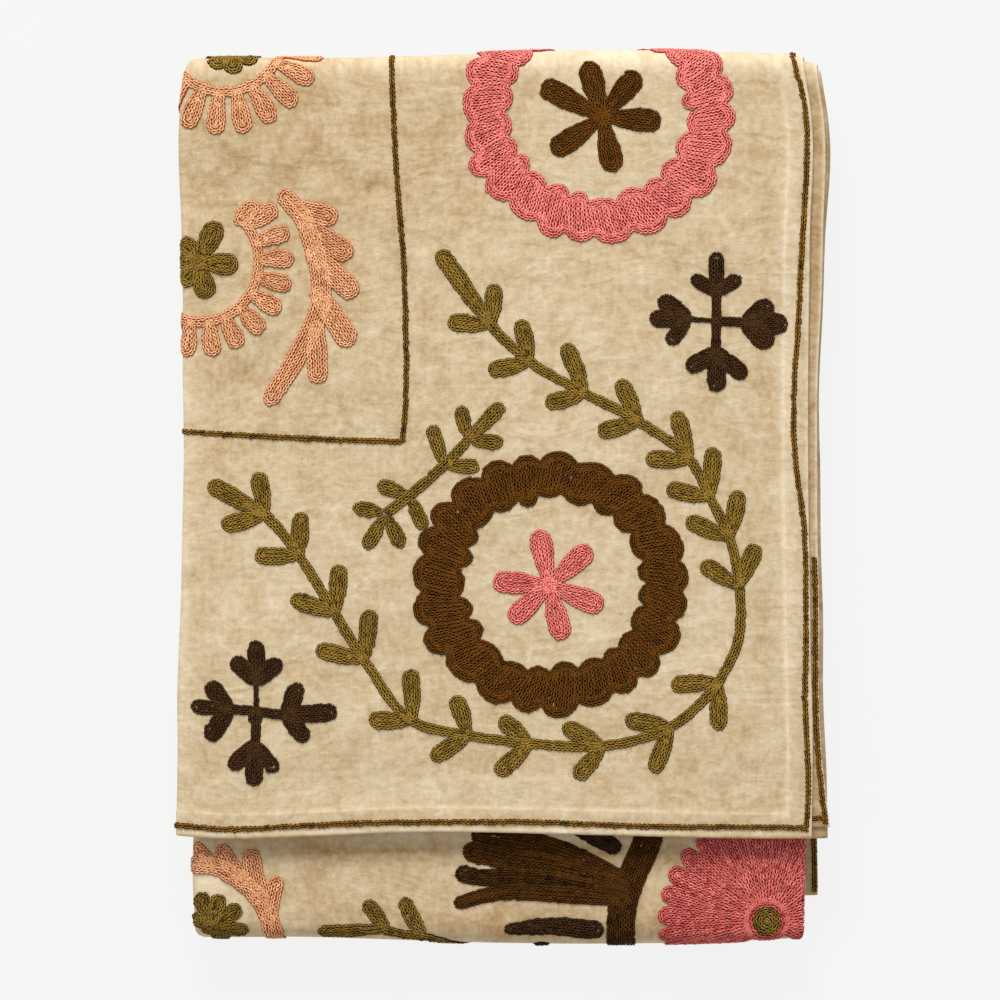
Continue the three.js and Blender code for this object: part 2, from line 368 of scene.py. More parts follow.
# Close together where a hem is turned, dimpled and ends, then in steps: fine on the top and in
# the bends, and coarse inside the stack.
hem_marks = np.array([HALF_CLOTH, 1.8, 3.0, 4.0, 5.0, 6.4, 8.2, 10.4, 12.3, 12.9, 13.5, 14.3])
across_marks = np.concatenate([
    hem_marks, even(INSIDE_HEM, s1 - 4, 3.9), even(s1 - 4, s2 + 4, 2.0),
    even(s2 + 4, s3 - 3, 13.0), even(s3 - 3, s4 + 3, 1.5), even(s4 + 3, s5 - 3, 28.0),
    even(s5 - 3, s6 + 3, 2.0), even(s6 + 3, THROW_WIDTH - INSIDE_HEM, 24.0),
    THROW_WIDTH - hem_marks[::-1],
])
LEAF_STEPS = [3.9, 10.0, 22.0, 20.0]
end_marks = np.array([1.8, 3.2, 4.4, 5.6, 7.6, 10.0, 12.3, 12.9, 13.5, 14.3])
along_parts = [end_marks]
for leaf in range(LEAVES):
    first = INSIDE_HEM if leaf == 0 else leaf_starts[leaf]
    last = THROW_LENGTH - INSIDE_HEM if leaf == LEAVES - 1 else fold_starts[leaf]
    along_parts.append(even(first, last, LEAF_STEPS[leaf]))
    if leaf < LEAVES - 1:
        along_parts.append(even(fold_starts[leaf], leaf_starts[leaf + 1], 1.6))
along_marks = np.concatenate(along_parts + [THROW_LENGTH - end_marks[::-1]])
print("stations:", len(across_marks), "across,", len(along_marks), "along")

# %% The closed loop of the section, and its rows along the cloth
ROUND = np.radians([67.5, 22.5, -22.5, -67.5])
END_ROUND = np.radians([15.0, 50.0, 90.0])
faces_across = len(across_marks)
round_across = HALF_CLOTH * (1 - np.cos(ROUND))
loop_across = np.concatenate([
    across_marks, THROW_WIDTH - round_across, across_marks[::-1], round_across,
])
loop_side = np.concatenate([
    np.ones(faces_across), np.sin(ROUND), -np.ones(faces_across), -np.sin(ROUND),
])
end_along = HALF_CLOTH * (1 - np.cos(END_ROUND))
row_along = np.concatenate([end_along, along_marks, THROW_LENGTH - end_along[::-1]])
row_side = np.concatenate([np.sin(END_ROUND), np.ones(len(along_marks)), np.sin(END_ROUND)[::-1]])


def knots_at(along):
    """Hems, the hems' inner edges and the starts of the stretches, in one row for each along."""
    hem = np.full(len(along), INSIDE_HEM)
    far_hem = THROW_WIDTH - hem
    return np.column_stack([0 * hem, hem, *stretch_starts(along), far_hem, far_hem + hem])


marked = knots_at(np.array([MARKED_ALONG]))[0]
knot = np.clip(np.searchsorted(marked, loop_across, side="right") - 1, 0, len(marked) - 2)
share = (loop_across - marked[knot]) / np.diff(marked)[knot]
row_knots = knots_at(row_along)
grid_across = row_knots[:, knot] * (1 - share) + row_knots[:, knot + 1] * share
grid_along = np.broadcast_to(row_along[:, None], grid_across.shape)
grid_height = np.where(loop_side > 0, front_height(grid_across, grid_along), HALF_CLOTH)
grid_height = grid_height * loop_side * row_side[:, None]
cloth_points = place(grid_across, grid_along, grid_height)
rows, around = grid_across.shape


def wrapped_quads(rows, around):
    """Quads of a grid whose last column joins its first: (r, c), (r+1, c), (r+1, c+1), (r, c+1)."""
    row, column = np.meshgrid(np.arange(rows - 1), np.arange(around), indexing="ij")
    beside = (column + 1) % around
    return np.stack([row * around + column, (row + 1) * around + column,
                     (row + 1) * around + beside, row * around + beside], axis=-1).reshape(-1, 4)


def end_quads(faces_across, around, row_start, flip):
    """Closes an end: quads between each front point and the back point under it."""
    run = np.arange(faces_across + 2)
    front = np.concatenate([[around - 2, around - 1], run])
    back = np.concatenate([[around - 3, around - 4], 2 * faces_across + 3 - run])
    quads = np.stack([front[:-1], front[1:], back[1:], back[:-1]], axis=-1) + row_start
    return quads[:, ::-1] if flip else quads


cloth_quads = np.concatenate([
    wrapped_quads(rows, around),
    end_quads(faces_across, around, 0, False),
    end_quads(faces_across, around, (rows - 1) * around, True),
])
print("cloth skin:", cloth_points.shape[:2], "points,", 2 * len(cloth_quads), "triangles")

# %% Arrays into a Blender mesh
def add_object(name, data):
    """A new object for the data, linked to the scene."""
    thing = bpy.data.objects.new(name, data)
    bpy.context.scene.collection.objects.link(thing)
    return thing


def make_piece(name, points, quads, uv, values):
    """A smooth mesh object at the origin from points in mm, with its UV map and its values."""
    mesh = bpy.data.meshes.new(name)
    mesh.vertices.add(len(points))
    mesh.vertices.foreach_set("co", (points / 1000).astype(np.float32).ravel())
    mesh.loops.add(quads.size)
    mesh.loops.foreach_set("vertex_index", quads.astype(np.int32).ravel())
    mesh.polygons.add(len(quads))
    mesh.polygons.foreach_set("loop_start", np.arange(0, quads.size, 4, dtype=np.int32))
    mesh.update(calc_edges=True)
    mesh.shade_smooth()
    laid_flat = mesh.uv_layers.new(name="laid_flat")
    laid_flat.data.foreach_set("uv", uv[quads.ravel()].astype(np.float32).ravel())
    for key, value in values.items():
        layer = mesh.attributes.new(key, "FLOAT", "POINT")
        layer.data.foreach_set("value", value.astype(np.float32).ravel())
    print(name, "triangles:", 2 * len(quads))
    return add_object(name, mesh)


# %% [markdown]
# ## How the pile lies, and the painted light on it
#
# Velvet shows where a hand has stroked it: where the pile leans to the light it is pale, and
# where it leans away it is dull. The broad patches are given as soft spots, and the fine
# clouds come later, in the material. The value is kept on the points of the cloth.
# Painted highlights on the edges, the far fold and the hem, and painted shade on the strip under the
# hem and on the layers under the top leaf, are added to the same value.

# %% Brush the pile and paint light and shade on it
# Columns: x and y of the middle, reach along and across, direction in degrees, and how much
# paler (+) or duller (-). The broad patches are the pile's lean. The narrow rows along the side
# edges, the far fold and the top hem's rim, and the pale spot at the strip's left end, are
# painted highlights; the dull spots on the strip just below the hem are painted shade.
LEAN_AND_PAINTED_LIGHT_SPOTS = np.array([
    (-135.4, 191.3, 69.5, 48.2, 0.0, -0.42), (-55.1, 164.5, 48.2, 26.8, 0.0, -0.25),
    (-146.1, 89.6, 32.1, 48.2, 0.0, -0.15), (-87.2, 111.0, 21.4, 37.5, 0.0, -0.12),
    (-17.7, 207.3, 32.1, 32.1, 0.0, -0.2), (51.9, 202.0, 32.1, 32.1, 0.0, 0.25),
    (137.5, 191.3, 16.1, 48.2, 0.0, -0.1), (19.8, 89.6, 32.1, 32.1, 0.0, 0.2),
    (73.3, 62.9, 69.5, 32.1, 30.0, 0.15), (25.1, -49.5, 42.8, 42.8, 0.0, 0.35),
    (105.4, -76.2, 32.1, 48.2, 0.0, 0.3), (-108.6, -33.4, 48.2, 37.5, 0.0, 0.2),
    (-146.1, -76.2, 21.4, 32.1, 0.0, 0.15), (-28.4, -161.8, 133.8, 9.6, 0.0, 0.25),
    (153.5, 30.8, 5.4, 214.0, 0.0, 0.45), (73.3, 236.2, 117.7, 7.5, 0.0, 0.8),
    (-171.7, -1.3, 4.3, 176.6, 0.0, 0.4), (105.4, -151.1, 32.1, 16.1, 0.0, -0.1),
    (-156.8, -204.6, 16.1, 13.9, 0.0, 1.2), (-92.6, -186.4, 69.5, 7.5, 0.0, -0.75),
    (62.6, -186.4, 139.1, 8.0, 0.0, -0.75), (30.5, -228.7, 85.6, 8.6, 0.0, -0.95),
    (78.6, -210.0, 26.8, 21.4, 0.0, -0.2), (-12.3, -179.0, 176.6, 2.1, 0.0, 1.0),
    (-92.6, -212.7, 48.2, 16.1, 0.0, -0.35),
])
SPOTS_START_HEIGHT, SPOTS_FULL_HEIGHT = 20.0, 28.0


def lean_and_painted_light_spots(points):
    """The spots' lean and painted light, on the top only: all at 28 mm high and none at 20 mm."""
    x, y, z = points[..., 0], points[..., 1], points[..., 2]
    return spots(LEAN_AND_PAINTED_LIGHT_SPOTS, x, y) * np.clip((z - SPOTS_START_HEIGHT) / (SPOTS_FULL_HEIGHT - SPOTS_START_HEIGHT), 0, 1)


def painted_hem_light_and_layer_shade(across, along):
    """Painted highlight: exp(-((d - hem's width)/1.1)^2) where the hem ends, exp(-(d/1.3)^2) on its
    rim.

    The layers under the top leaf's first panel get painted shade, so they are a little duller.
    """
    on_leaf = along < fold_starts[0] - 4
    on_top = (across < FIRST_PANEL) & on_leaf & (along > 12)
    from_side = np.minimum(across, THROW_WIDTH - across)
    ridge = 0.5 * on_top * np.exp(-(((across - HEM_WIDTH) / 1.1) ** 2))
    under = 0.6 * ((across > UNDER_LAYERS) & on_leaf)
    # Painted highlight on the hem's step and every rim; painted shade on the lower layers.
    return ridge + (1.0 + under) * np.exp(-((from_side / 1.3) ** 2)) - under


cloth_uv = np.stack([grid_across, grid_along], axis=-1).reshape(-1, 2) / 1000
# The value holds the pile's lean, painted highlights and painted shade.
pile_lean_and_painted_light = lean_and_painted_light_spots(cloth_points) + painted_hem_light_and_layer_shade(grid_across, grid_along)
cloth = make_piece("velvet_cloth", cloth_points.reshape(-1, 3), cloth_quads, cloth_uv,
                   {"lean": pile_lean_and_painted_light})

# %% [markdown]
# ## Chain stitch
#
# The pattern is hooked chain stitch: each link is a loop of yarn that comes up through the link
# before it, so a row reads as a line of small Vs. Leaves and petals are filled by rows that
# follow the outline, one inside the other, so the rows are laid out first, flat on the visible
# side, and each row is then cut into links. A link is a short ring of yarn with six bends over a
# small dark bed, and one array of them makes a whole yarn's piece. They are modelled and not a
# bump, because their deep dark holes make chain stitch look like itself from every side.

# %% Rows on the flat pattern
ROW = 2.5
LINK = 2.4
PATH_STEP = 0.6
stitch_rows = []


def smooth_path(points):
    """A smooth line through points: Hermite's curve over the straight distance between them."""
    points = np.asarray(points, dtype=float)
    reach = np.concatenate([[0], np.cumsum(np.linalg.norm(np.diff(points, axis=0), axis=1))])
    places = np.linspace(0, reach[-1], max(int(reach[-1] / PATH_STEP), 2) + 1)
    return table_at(np.column_stack([reach, points]), places).T


def sideways(path):
    """Unit vectors to the left of a path: its direction turned by a quarter."""
    direction = np.gradient(path, axis=0)
    direction = direction / np.linalg.norm(direction, axis=1, keepdims=True).clip(1e-9)
    return np.column_stack([-direction[:, 1], direction[:, 0]])


def even_points(path, pitch):
    """Points along a path about a pitch apart, found by its length."""
    reach = np.concatenate([[0], np.cumsum(np.linalg.norm(np.diff(path, axis=0), axis=1))])
    count = max(int(round(reach[-1] / pitch)), 1)
    places = np.linspace(0, reach[-1], count + 1)
    return np.column_stack([np.interp(places, reach, path[:, axis]) for axis in (0, 1)])


def sew(colour, sheet, path, wide=1.0):
    """Adds one row: its yarn, the sheet it lies on, its points a link apart and its links' width."""
    stitch_rows.append((colour, sheet, even_points(path, LINK), wide))


def on_circle(centre, radius, angle):
    """Points centre + radius * (cos, sin) of each angle."""
    return np.asarray(centre) + radius * np.column_stack([np.cos(angle), np.sin(angle)])


def turn_round(centre, start, radius, sweep):
    """Points on part of a circle, between its ends: the angles are start plus shares of sweep."""
    return on_circle(centre, radius, start + np.linspace(0, 1, 9)[1:-1] * sweep)


def sew_leaf(colour, sheet, spine, widths):
    """Fills a leaf with nested rows.

    The leaf is every disc of half a width whose centre lies on the spine. Its full width holds a
    whole number of rows. Row k from the outside follows the same discs with their radius less
    k + 1/2 rows, up one side, round the tip and back. Where that leaves room in the middle, one
    more row runs on the spine.
    """
    spine = smooth_path(spine)
    share = np.linspace(0, 1, len(spine))
    half = np.interp(share, np.linspace(0, 1, len(widths)), widths) / 2
    left = sideways(spine)
    across = max(round(2 * half.max() / ROW), 1)
    row = 2 * half.max() / across
    for k in range(across // 2):
        radius = half - (k + 0.5) * row
        inside = np.flatnonzero(radius > 0)
        if len(inside) < 3:
            continue
        mid, out, r = spine[inside], left[inside], radius[inside, None]
        ahead = math.atan2(*out[-1][::-1])
        behind = math.atan2(*(-out[0])[::-1])
        loop = [mid + out * r, turn_round(mid[-1], ahead, r[-1, 0], -math.pi), (mid - out * r)[::-1]]
        if r[0, 0] > 0.5:
            loop.append(turn_round(mid[0], behind, r[0, 0], -math.pi))
        loop.append(mid[:1] + out[:1] * r[:1])
        sew(colour, sheet, np.concatenate(loop))
    fitted = np.minimum(np.floor(half / row + 0.5), across // 2)
    room = np.flatnonzero(half - fitted * row > 0.2 * row)
    for run in np.split(room, np.flatnonzero(np.diff(room) > 1) + 1):
        if len(run) > 2:
            sew(colour, sheet, spine[run])


def sew_band(colour, sheet, points, count):
    """Rows side by side along a line: the line moved sideways by (k - (count-1)/2) rows."""
    path = smooth_path(points)
    for k in range(count):
        sew(colour, sheet, path + sideways(path) * (k - (count - 1) / 2) * ROW)


def heading(degrees):
    """The unit vector at an angle from +x."""
    return np.array([math.cos(math.radians(degrees)), math.sin(math.radians(degrees))])


def sew_petal(colour, sheet, centre, degrees, start, end, wide, base):
    """A petal from radius start to end: a straight spine, narrow at its base, full near its tip."""
    out = heading(degrees)
    tip = end - wide / 2
    spine = [np.asarray(centre) + out * (start + (tip - start) * t) for t in np.linspace(0, 1, 4)]
    sew_leaf(colour, sheet, spine, [wide * base, wide * (0.5 + 0.5 * base), wide, wide])


def sew_short_leaf(colour, foot, tip, wide, clear, shares):
    """A leaf on the top from foot to tip, starting clear of the foot; its widths are shares of wide."""
    foot, tip = np.asarray(foot), np.asarray(tip)
    way = tip - foot
    length = np.linalg.norm(way)
    start = foot + way / length * clear
    end = tip - way / length * wide / 2
    sew_leaf(colour, "top", [start, (start + end) / 2, end], [share * wide for share in shares])


print("a row each", ROW, "mm and a link each", LINK, "mm")

# %% From the flat pattern to the cloth
CLIP_UNDER_HEM = 3.0
TOP_SEEN_FROM = -184.0
STRIP_SEEN_FROM, STRIP_SEEN_TO = -178.0, 168.0


def top_sheet(x, y):
    """Across and along for a point drawn on the top leaf.

    Past the far fold or the left fold the drawing goes on round it: its length is measured on
    the outside of the fold, which is longer than the middle by reach / radius.
    """
    start, fold = leaf_spans(x)[0]
    along = (y - start) / (fold - start) * leaf_lengths[0]
    along = np.where(y > fold, leaf_lengths[0] + (y - fold) * LEAF_RADIUS / LEAF_REACH, along)
    first_hem, left = side_folds(along)[:2]
    across = first_hem - np.maximum(x, left)
    return across + np.maximum(left - x, 0) * WIDE_RADIUS / (WIDE_RADIUS + HALF_CLOTH), along


def strip_sheet(x, y):
    """Across and along for a point drawn on the strip of the second leaf, front of the second panel."""
    start, fold = leaf_spans(x)[1]
    along = leaf_starts[1] + (start - y) / (start - fold) * leaf_lengths[1]
    past = leaf_starts[1] + leaf_lengths[1] + (fold - y) * LEAF_RADIUS / LEAF_REACH
    along = np.where(y < fold, past, along)
    left, right = side_folds(along)[1:3]
    panel_start = stretch_starts(along)[1]
    across = panel_start + np.clip(x, left, right) - left
    across = across - np.maximum(left - x, 0) * WIDE_RADIUS / (WIDE_RADIUS + HALF_CLOTH)
    return across + np.maximum(x - right, 0) * TIGHT_RADIUS / (TIGHT_RADIUS + HALF_CLOTH), along


def as_written(x, y):
    """For rows that are written in across and along already, on the cloth's front or back."""
    return x, y


SHEETS = {"top": top_sheet, "strip": strip_sheet, "cloth": as_written, "back": as_written}


def seen(sheet, x, y):
    """Which links show: none far past a fold, none deep under the top leaf."""
    past_fold = LEAF_REACH * math.pi
    if sheet == "top":
        return (y < leaf_spans(x)[0][1] + past_fold) & (x > TOP_SEEN_FROM)
    if sheet == "strip":
        end, near = table_at(LEAF_ENDS, x)[0], leaf_spans(x)[1][1]
        shows = (y < end + CLIP_UNDER_HEM) & (y > near - past_fold)
        return shows & (x > STRIP_SEEN_FROM) & (x < STRIP_SEEN_TO)
    return np.ones(len(x), dtype=bool)


# %% One link of yarn
# Columns: share of the way along the link, share of a row to the side, height in millimetres,
# and how much lighter the yarn is there than in the hole. That tone is painted light and shade:
# dark where the yarn dips low at the link's ends, light on its high bends.
LINK_BEND = np.array([
    (-0.16, 0.0, 0.62, 0.5), (0.38, -0.30, 0.97, 1.05), (0.82, -0.29, 0.85, 0.95),
    (1.12, 0.0, 0.60, 0.5), (0.82, 0.29, 0.85, 0.95), (0.38, 0.30, 0.97, 1.05),
])
# Which way is out at each bend, then the ring round the yarn as shares out and up, then the bed.
LINK_OUT = np.array([(-1.0, 0.0), (-0.3, -1.0), (0.4, -1.0), (1.0, 0.0), (0.4, 1.0), (-0.3, 1.0)])
YARN_HALF_WIDE, YARN_HALF_HIGH = 0.39, 0.42
RING = np.array([(-1.0, 0.0), (0.0, 0.4), (1.0, 0.0), (0.0, -1.0)])
SIDES = len(RING)
# The bed's dark is partly the yarn and pile under the hole, partly painted shade in it.
BED = np.array([(-0.02, -0.56), (1.02, -0.56), (1.02, 0.56), (-0.02, 0.56)])
BED_HEIGHTS = (-0.25, 0.34)
# How much darker each yarn is on the strip: painted shade, as the strip lies in the top leaf's shade.
STRIP_PAINTED_SHADE = {
    "salmon": 0.08, "pink": 0.28, "brown": 0.38, "olive": 0.17, "dark": 0.20, "line": 0.17,
}
UNEVEN_TONE = {
    "salmon": 0.14, "pink": 0.14, "brown": 0.12, "olive": 0.16, "dark": 0.16, "line": 0.2,
}
UNEVEN_ROW_TONE = 0.07
UNEVEN_WIDTH, UNEVEN_LEAN, UNEVEN_ASIDE, UNEVEN_HEIGHT = 0.06, 0.22, 0.09, 0.06
# Middle tone of a link; painted shade under the yarn; tone of its sides; painted highlight on top.
MIDDLE_TONE, UNDER_PAINTED_SHADE, SIDE_TONE, TOP_PAINTED_LIGHT = 0.86, 0.2, 0.9, 0.25
FULLEST = 1.15
YARN_PLACES = 40
# How far the hem line's links lean, and the painted shade at their ends.
LINE_LEAN, LINE_ENDS_PAINTED_SHADE = 0.5, 0.6


def link_template():
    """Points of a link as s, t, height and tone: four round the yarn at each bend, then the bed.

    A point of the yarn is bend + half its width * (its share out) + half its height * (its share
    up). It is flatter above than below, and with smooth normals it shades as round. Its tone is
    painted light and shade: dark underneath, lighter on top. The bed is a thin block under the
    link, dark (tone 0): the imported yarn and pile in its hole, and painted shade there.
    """
    out = LINK_OUT / np.linalg.norm(LINK_OUT, axis=1, keepdims=True)
    flat = LINK_BEND[:, None, :2] * [LINK, ROW] + out[:, None] * RING[None, :, :1] * YARN_HALF_WIDE
    up = RING[None, :, 1]
    high = LINK_BEND[:, None, 2] + up * YARN_HALF_HIGH
    tone = LINK_BEND[:, None, 3] * np.where(up < 0, UNDER_PAINTED_SHADE, SIDE_TONE + TOP_PAINTED_LIGHT * up)
    yarn = np.concatenate([flat, high[..., None], tone[..., None]], axis=-1).reshape(-1, 4)
    bed = np.array([(s * LINK, t * ROW, height, 0.0) for height in BED_HEIGHTS for s, t in BED])
    return np.concatenate([yarn, bed])


def link_quads():
    """Quads between neighbouring rings, the last joined to the first, and the six of the bed."""
    bends = np.arange(len(LINK_BEND))[:, None] * SIDES
    following = np.roll(bends, -1)
    corner, beside = np.arange(SIDES)[None], (np.arange(SIDES)[None] + 1) % SIDES
    yarn = np.stack([bends + corner, bends + beside, following + beside, following + corner], axis=-1)
    bed = SIDES * len(LINK_BEND)
    sides = [[bed + k, bed + (k + 1) % 4, bed + 4 + (k + 1) % 4, bed + 4 + k] for k in range(4)]
    flats = [[bed + 3, bed + 2, bed + 1, bed], [bed + 4, bed + 5, bed + 6, bed + 7]]
    return np.concatenate([yarn.reshape(-1, 4), sides, flats])


def signed_volume(points, quads):
    """Sum over triangles of a . (b x c) / 6: more than 0 when the faces look outwards."""
    a, b, c, d = (points[quads[:, k]] for k in range(4))
    return (np.einsum("qi,qi->", a, np.cross(b, c)) + np.einsum("qi,qi->", a, np.cross(c, d))) / 6


LINK_POINTS = link_template()
LINK_QUADS = link_quads()
volumes = [signed_volume(LINK_POINTS[:, :3], part) for part in (LINK_QUADS[:-6], LINK_QUADS[-6:])]
print("a link:", 2 * len(LINK_QUADS), "triangles; its yarn and bed, mm3:", np.round(volumes, 2))

# %% Sew every row of one yarn into a piece
def links_of(colour):
    """Every visible link of a yarn: start, step to the next, width, tone and number of its sheet.

    Tone varies from row to row and from link to link at random, and on the strip it is darker by
    painted shade. The random numbers go on with the links' shapes, so their source comes back as well.
    """
    random = np.random.default_rng(sum(map(ord, colour)))
    starts, steps, wides, tones, sheets = [], [], [], [], []
    for row_colour, sheet, points, wide in stitch_rows:
        if row_colour != colour:
            continue
        middle = (points[:-1] + points[1:]) / 2
        keep = seen(sheet, middle[:, 0], middle[:, 1])
        count = int(keep.sum())
        starts.append(points[:-1][keep])
        steps.append(np.diff(points, axis=0)[keep])
        wides.append(np.full(count, wide))
        # On the strip the yarn is darkened by painted shade.
        strip_shade = STRIP_PAINTED_SHADE[colour] if sheet == "strip" else 0.0
        uneven = UNEVEN_TONE[colour] * random.standard_normal(count)
        tones.append(UNEVEN_ROW_TONE * random.standard_normal() + uneven - strip_shade)
        sheets.append(np.full(count, list(SHEETS).index(sheet)))
    joined = [np.concatenate(part) for part in (starts, steps, wides, tones, sheets)]
    return (*joined, random)


def sew_piece(name, colour):
    """Makes the links: start + s * step + t * row sideways, each point h over the cloth's face.

    On the sheet "back" a link stands on the cloth's back, and on the sheet "cloth" it is mirrored,
    because across runs to the left there. Links differ a little in width, lean, place and height,
    and the hem line's links all lean one way. Painted shade darkens the hem line's links towards
    both ends.
    """
    starts, steps, wides, tones, sheets, random = links_of(colour)
    count = len(starts)
    length = np.linalg.norm(steps, axis=1)[:, None, None]
    ahead = steps[:, None] / length
    beside = np.stack([-ahead[..., 1], ahead[..., 0]], axis=-1)
    face = np.where(sheets == list(SHEETS).index("back"), -1, 1)[:, None]
    mirror = np.where(sheets == list(SHEETS).index("cloth"), -1, 1)[:, None]
    fuller = (wides * (1 + UNEVEN_WIDTH * random.standard_normal(count)))[:, None]
    lean = UNEVEN_LEAN * random.standard_normal((count, 1))
    aside = UNEVEN_ASIDE * random.standard_normal((count, 1))
    s, t, h, tone = LINK_POINTS.T
    along_link = s[None] * length[..., 0] / LINK
    # The hem line's links lean one way and get painted shade towards both ends.
    if colour == "line":
        lean = lean + LINE_LEAN
        tone = tone * (1 - LINE_ENDS_PAINTED_SHADE * np.abs(2 * s / LINK - 1).clip(0, 1) ** 2)
    to_side = mirror * (t[None] * fuller + lean * s[None] / LINK + aside)
    plan = starts[:, None] + ahead * along_link[..., None] + beside * to_side[..., None]
    across, along = np.empty(along_link.shape), np.empty(along_link.shape)
    for number, sheet in enumerate(SHEETS.values()):
        mine = sheets == number
        across[mine], along[mine] = sheet(plan[mine][..., 0], plan[mine][..., 1])
    uneven = UNEVEN_HEIGHT * random.standard_normal((count, 1))
    height = h[None] * np.minimum(fuller, FULLEST) + uneven
    ground = np.where(face > 0, front_height(across, along), HALF_CLOTH)
    points = place(across, along, face * (ground + height)).reshape(-1, 3)
    quads = (LINK_QUADS[None] + len(LINK_POINTS) * np.arange(count)[:, None, None]).reshape(-1, 4)
    per_point = tone[None] * (MIDDLE_TONE + tones[:, None])
    bends, bed = len(LINK_BEND), np.zeros(2 * len(BED))
    run = np.concatenate([np.repeat(np.arange(bends) * 1.0, SIDES), bed])
    round_yarn = np.concatenate([np.tile(np.arange(SIDES) / SIDES, bends), bed])
    yarn_at = run[None] + (random.random(count) * YARN_PLACES)[:, None]
    uv = np.stack([yarn_at.ravel(), np.broadcast_to(round_yarn, yarn_at.shape).ravel()], axis=-1)
    piece = make_piece(name, points, quads, uv, {"tone": per_point.ravel()})
    print(name, "links:", count)
    return piece


# %% [markdown]
# ## The wreaths
#
# Two large wreaths stand on the top leaf, a pink one cut by the far fold and a brown one whole.
# Each is a ring with arches along both its edges, as if fat lobes had grown together. Two rows
# of chain follow each edge and short slanted rows fill the ring between them. A small flower of
# the other wreath's yarn sits in the middle. Ring and petals are set out by angle and radius, as
# a pattern drafter would with a pair of compasses, and no two arches are quite the same size.

# %% Wreaths and the flowers in them
def sew_wreath(colour, centre, lobes, slant, seed, stretch):
    """A ring with arches sqrt(1 - u^2) on both edges, u going from -1 to 1 across each lobe.

    Rows follow each edge at half a row and one and a half rows inside it. Between them rows at
    equal angles run from edge to edge, turned by the slant, every other one inwards. The seed
    makes the arches uneven, and stretch widens the ring along x and y.
    """
    uneven = np.random.default_rng(seed).normal(0, 1, (2, lobes))
    angle = np.linspace(0, 2 * math.pi, 721)

    def edges(angle, slid):
        wander = angle + slid + 0.04 * np.sin(2 * angle + seed) + 0.025 * np.sin(7 * angle)
        turns = wander * lobes / (2 * math.pi)
        arch = np.sqrt(1 - (0.97 * (2 * (turns % 1) - 1)) ** 2)
        which = np.floor(turns).astype(int) % lobes
        outer = WREATH_OUTER - ARCH_OUT + (ARCH_OUT + UNEVEN_OUT * uneven[0, which]) * arch
        return WREATH_INNER + ARCH_IN - (ARCH_IN + UNEVEN_IN * uneven[1, which]) * arch, outer

    def at(angle, radius):
        ring = np.column_stack([radius * np.cos(angle), radius * np.sin(angle)])
        return np.asarray(centre) + ring * stretch

    inside = at(angle, edges(angle, slant / 2)[0])
    outside = at(angle, edges(angle, -slant / 2)[1])
    for inset in (0.5, 1.5):
        sew(colour, "top", inside - sideways(inside) * inset * ROW)
        sew(colour, "top", outside + sideways(outside) * inset * ROW)
    count = round(math.pi * (WREATH_INNER + WREATH_OUTER - 3) / ROW)
    for row, turn in enumerate(2 * math.pi * np.arange(count) / count):
        start = turn - slant / 2
        end = turn + slant / 2
        low = edges(np.array([start]), slant / 2)[0][0] + EDGE_ROWS * ROW
        high = edges(np.array([end]), -slant / 2)[1][0] - EDGE_ROWS * ROW
        share = np.linspace(0, 1, 12)
        path = at(start + (end - start) * share, low + (high - low) * share)
        sew(colour, "top", path[::-1] if row % 2 else path, FILL_WIDE)


def ring_round(centre, radius):
    """Points round a whole circle."""
    return on_circle(centre, radius, np.linspace(0, 2 * math.pi, 40))


def sew_flower(colour, sheet, centre, petals, wide, base):
    """Petals outwards, each its direction in degrees and its length, round two small rings."""
    for degrees, length in petals:
        sew_petal(colour, sheet, centre, degrees, 4.0, length, wide, base)
    for radius in (1.3, 3.4):
        sew(colour, sheet, ring_round(centre, radius))


PINK_WREATH = (50.8, 206.8)
BROWN_WREATH = (26.3, -45.5)
WREATH_INNER, WREATH_OUTER = 45.0, 73.0
ARCH_IN, ARCH_OUT = 6.6, 7.8
UNEVEN_IN, UNEVEN_OUT = 1.1, 1.2
EDGE_ROWS, FILL_WIDE = 1.45, 1.1
sew_wreath("pink", PINK_WREATH, 24, math.radians(4), 5, (1.015, 0.985))
sew_wreath("brown", BROWN_WREATH, 23, math.radians(-4), 8, (1.028, 0.968))
brown_petals = [(105, 31.0), (51, 31.0), (-4, 31.5), (-78, 30.0), (-145, 33.0), (152, 37.0)]
pink_petals = [(101, 30.0), (42, 30.0), (-22, 31.0), (-76, 30.0), (-137, 28.0), (176, 30.0)]
sew_flower("brown", "top", (53.0, 203.6), brown_petals, 12.2, 0.5)
sew_flower("pink", "top", (24.6, -46.8), pink_petals, 11.5, 0.55)
print("rows so far:", len(stitch_rows))

# %% [markdown]
# ## The vine and the sprigs
#
# An olive vine swings round the brown wreath. Its stem is two rows of chain side by side, and at
# each joint two leaves point back the way it came. Each leaf is short and full, three or four
# rows wide. Two dark sprigs are crosses of four short stems, each with three lobes at its end.

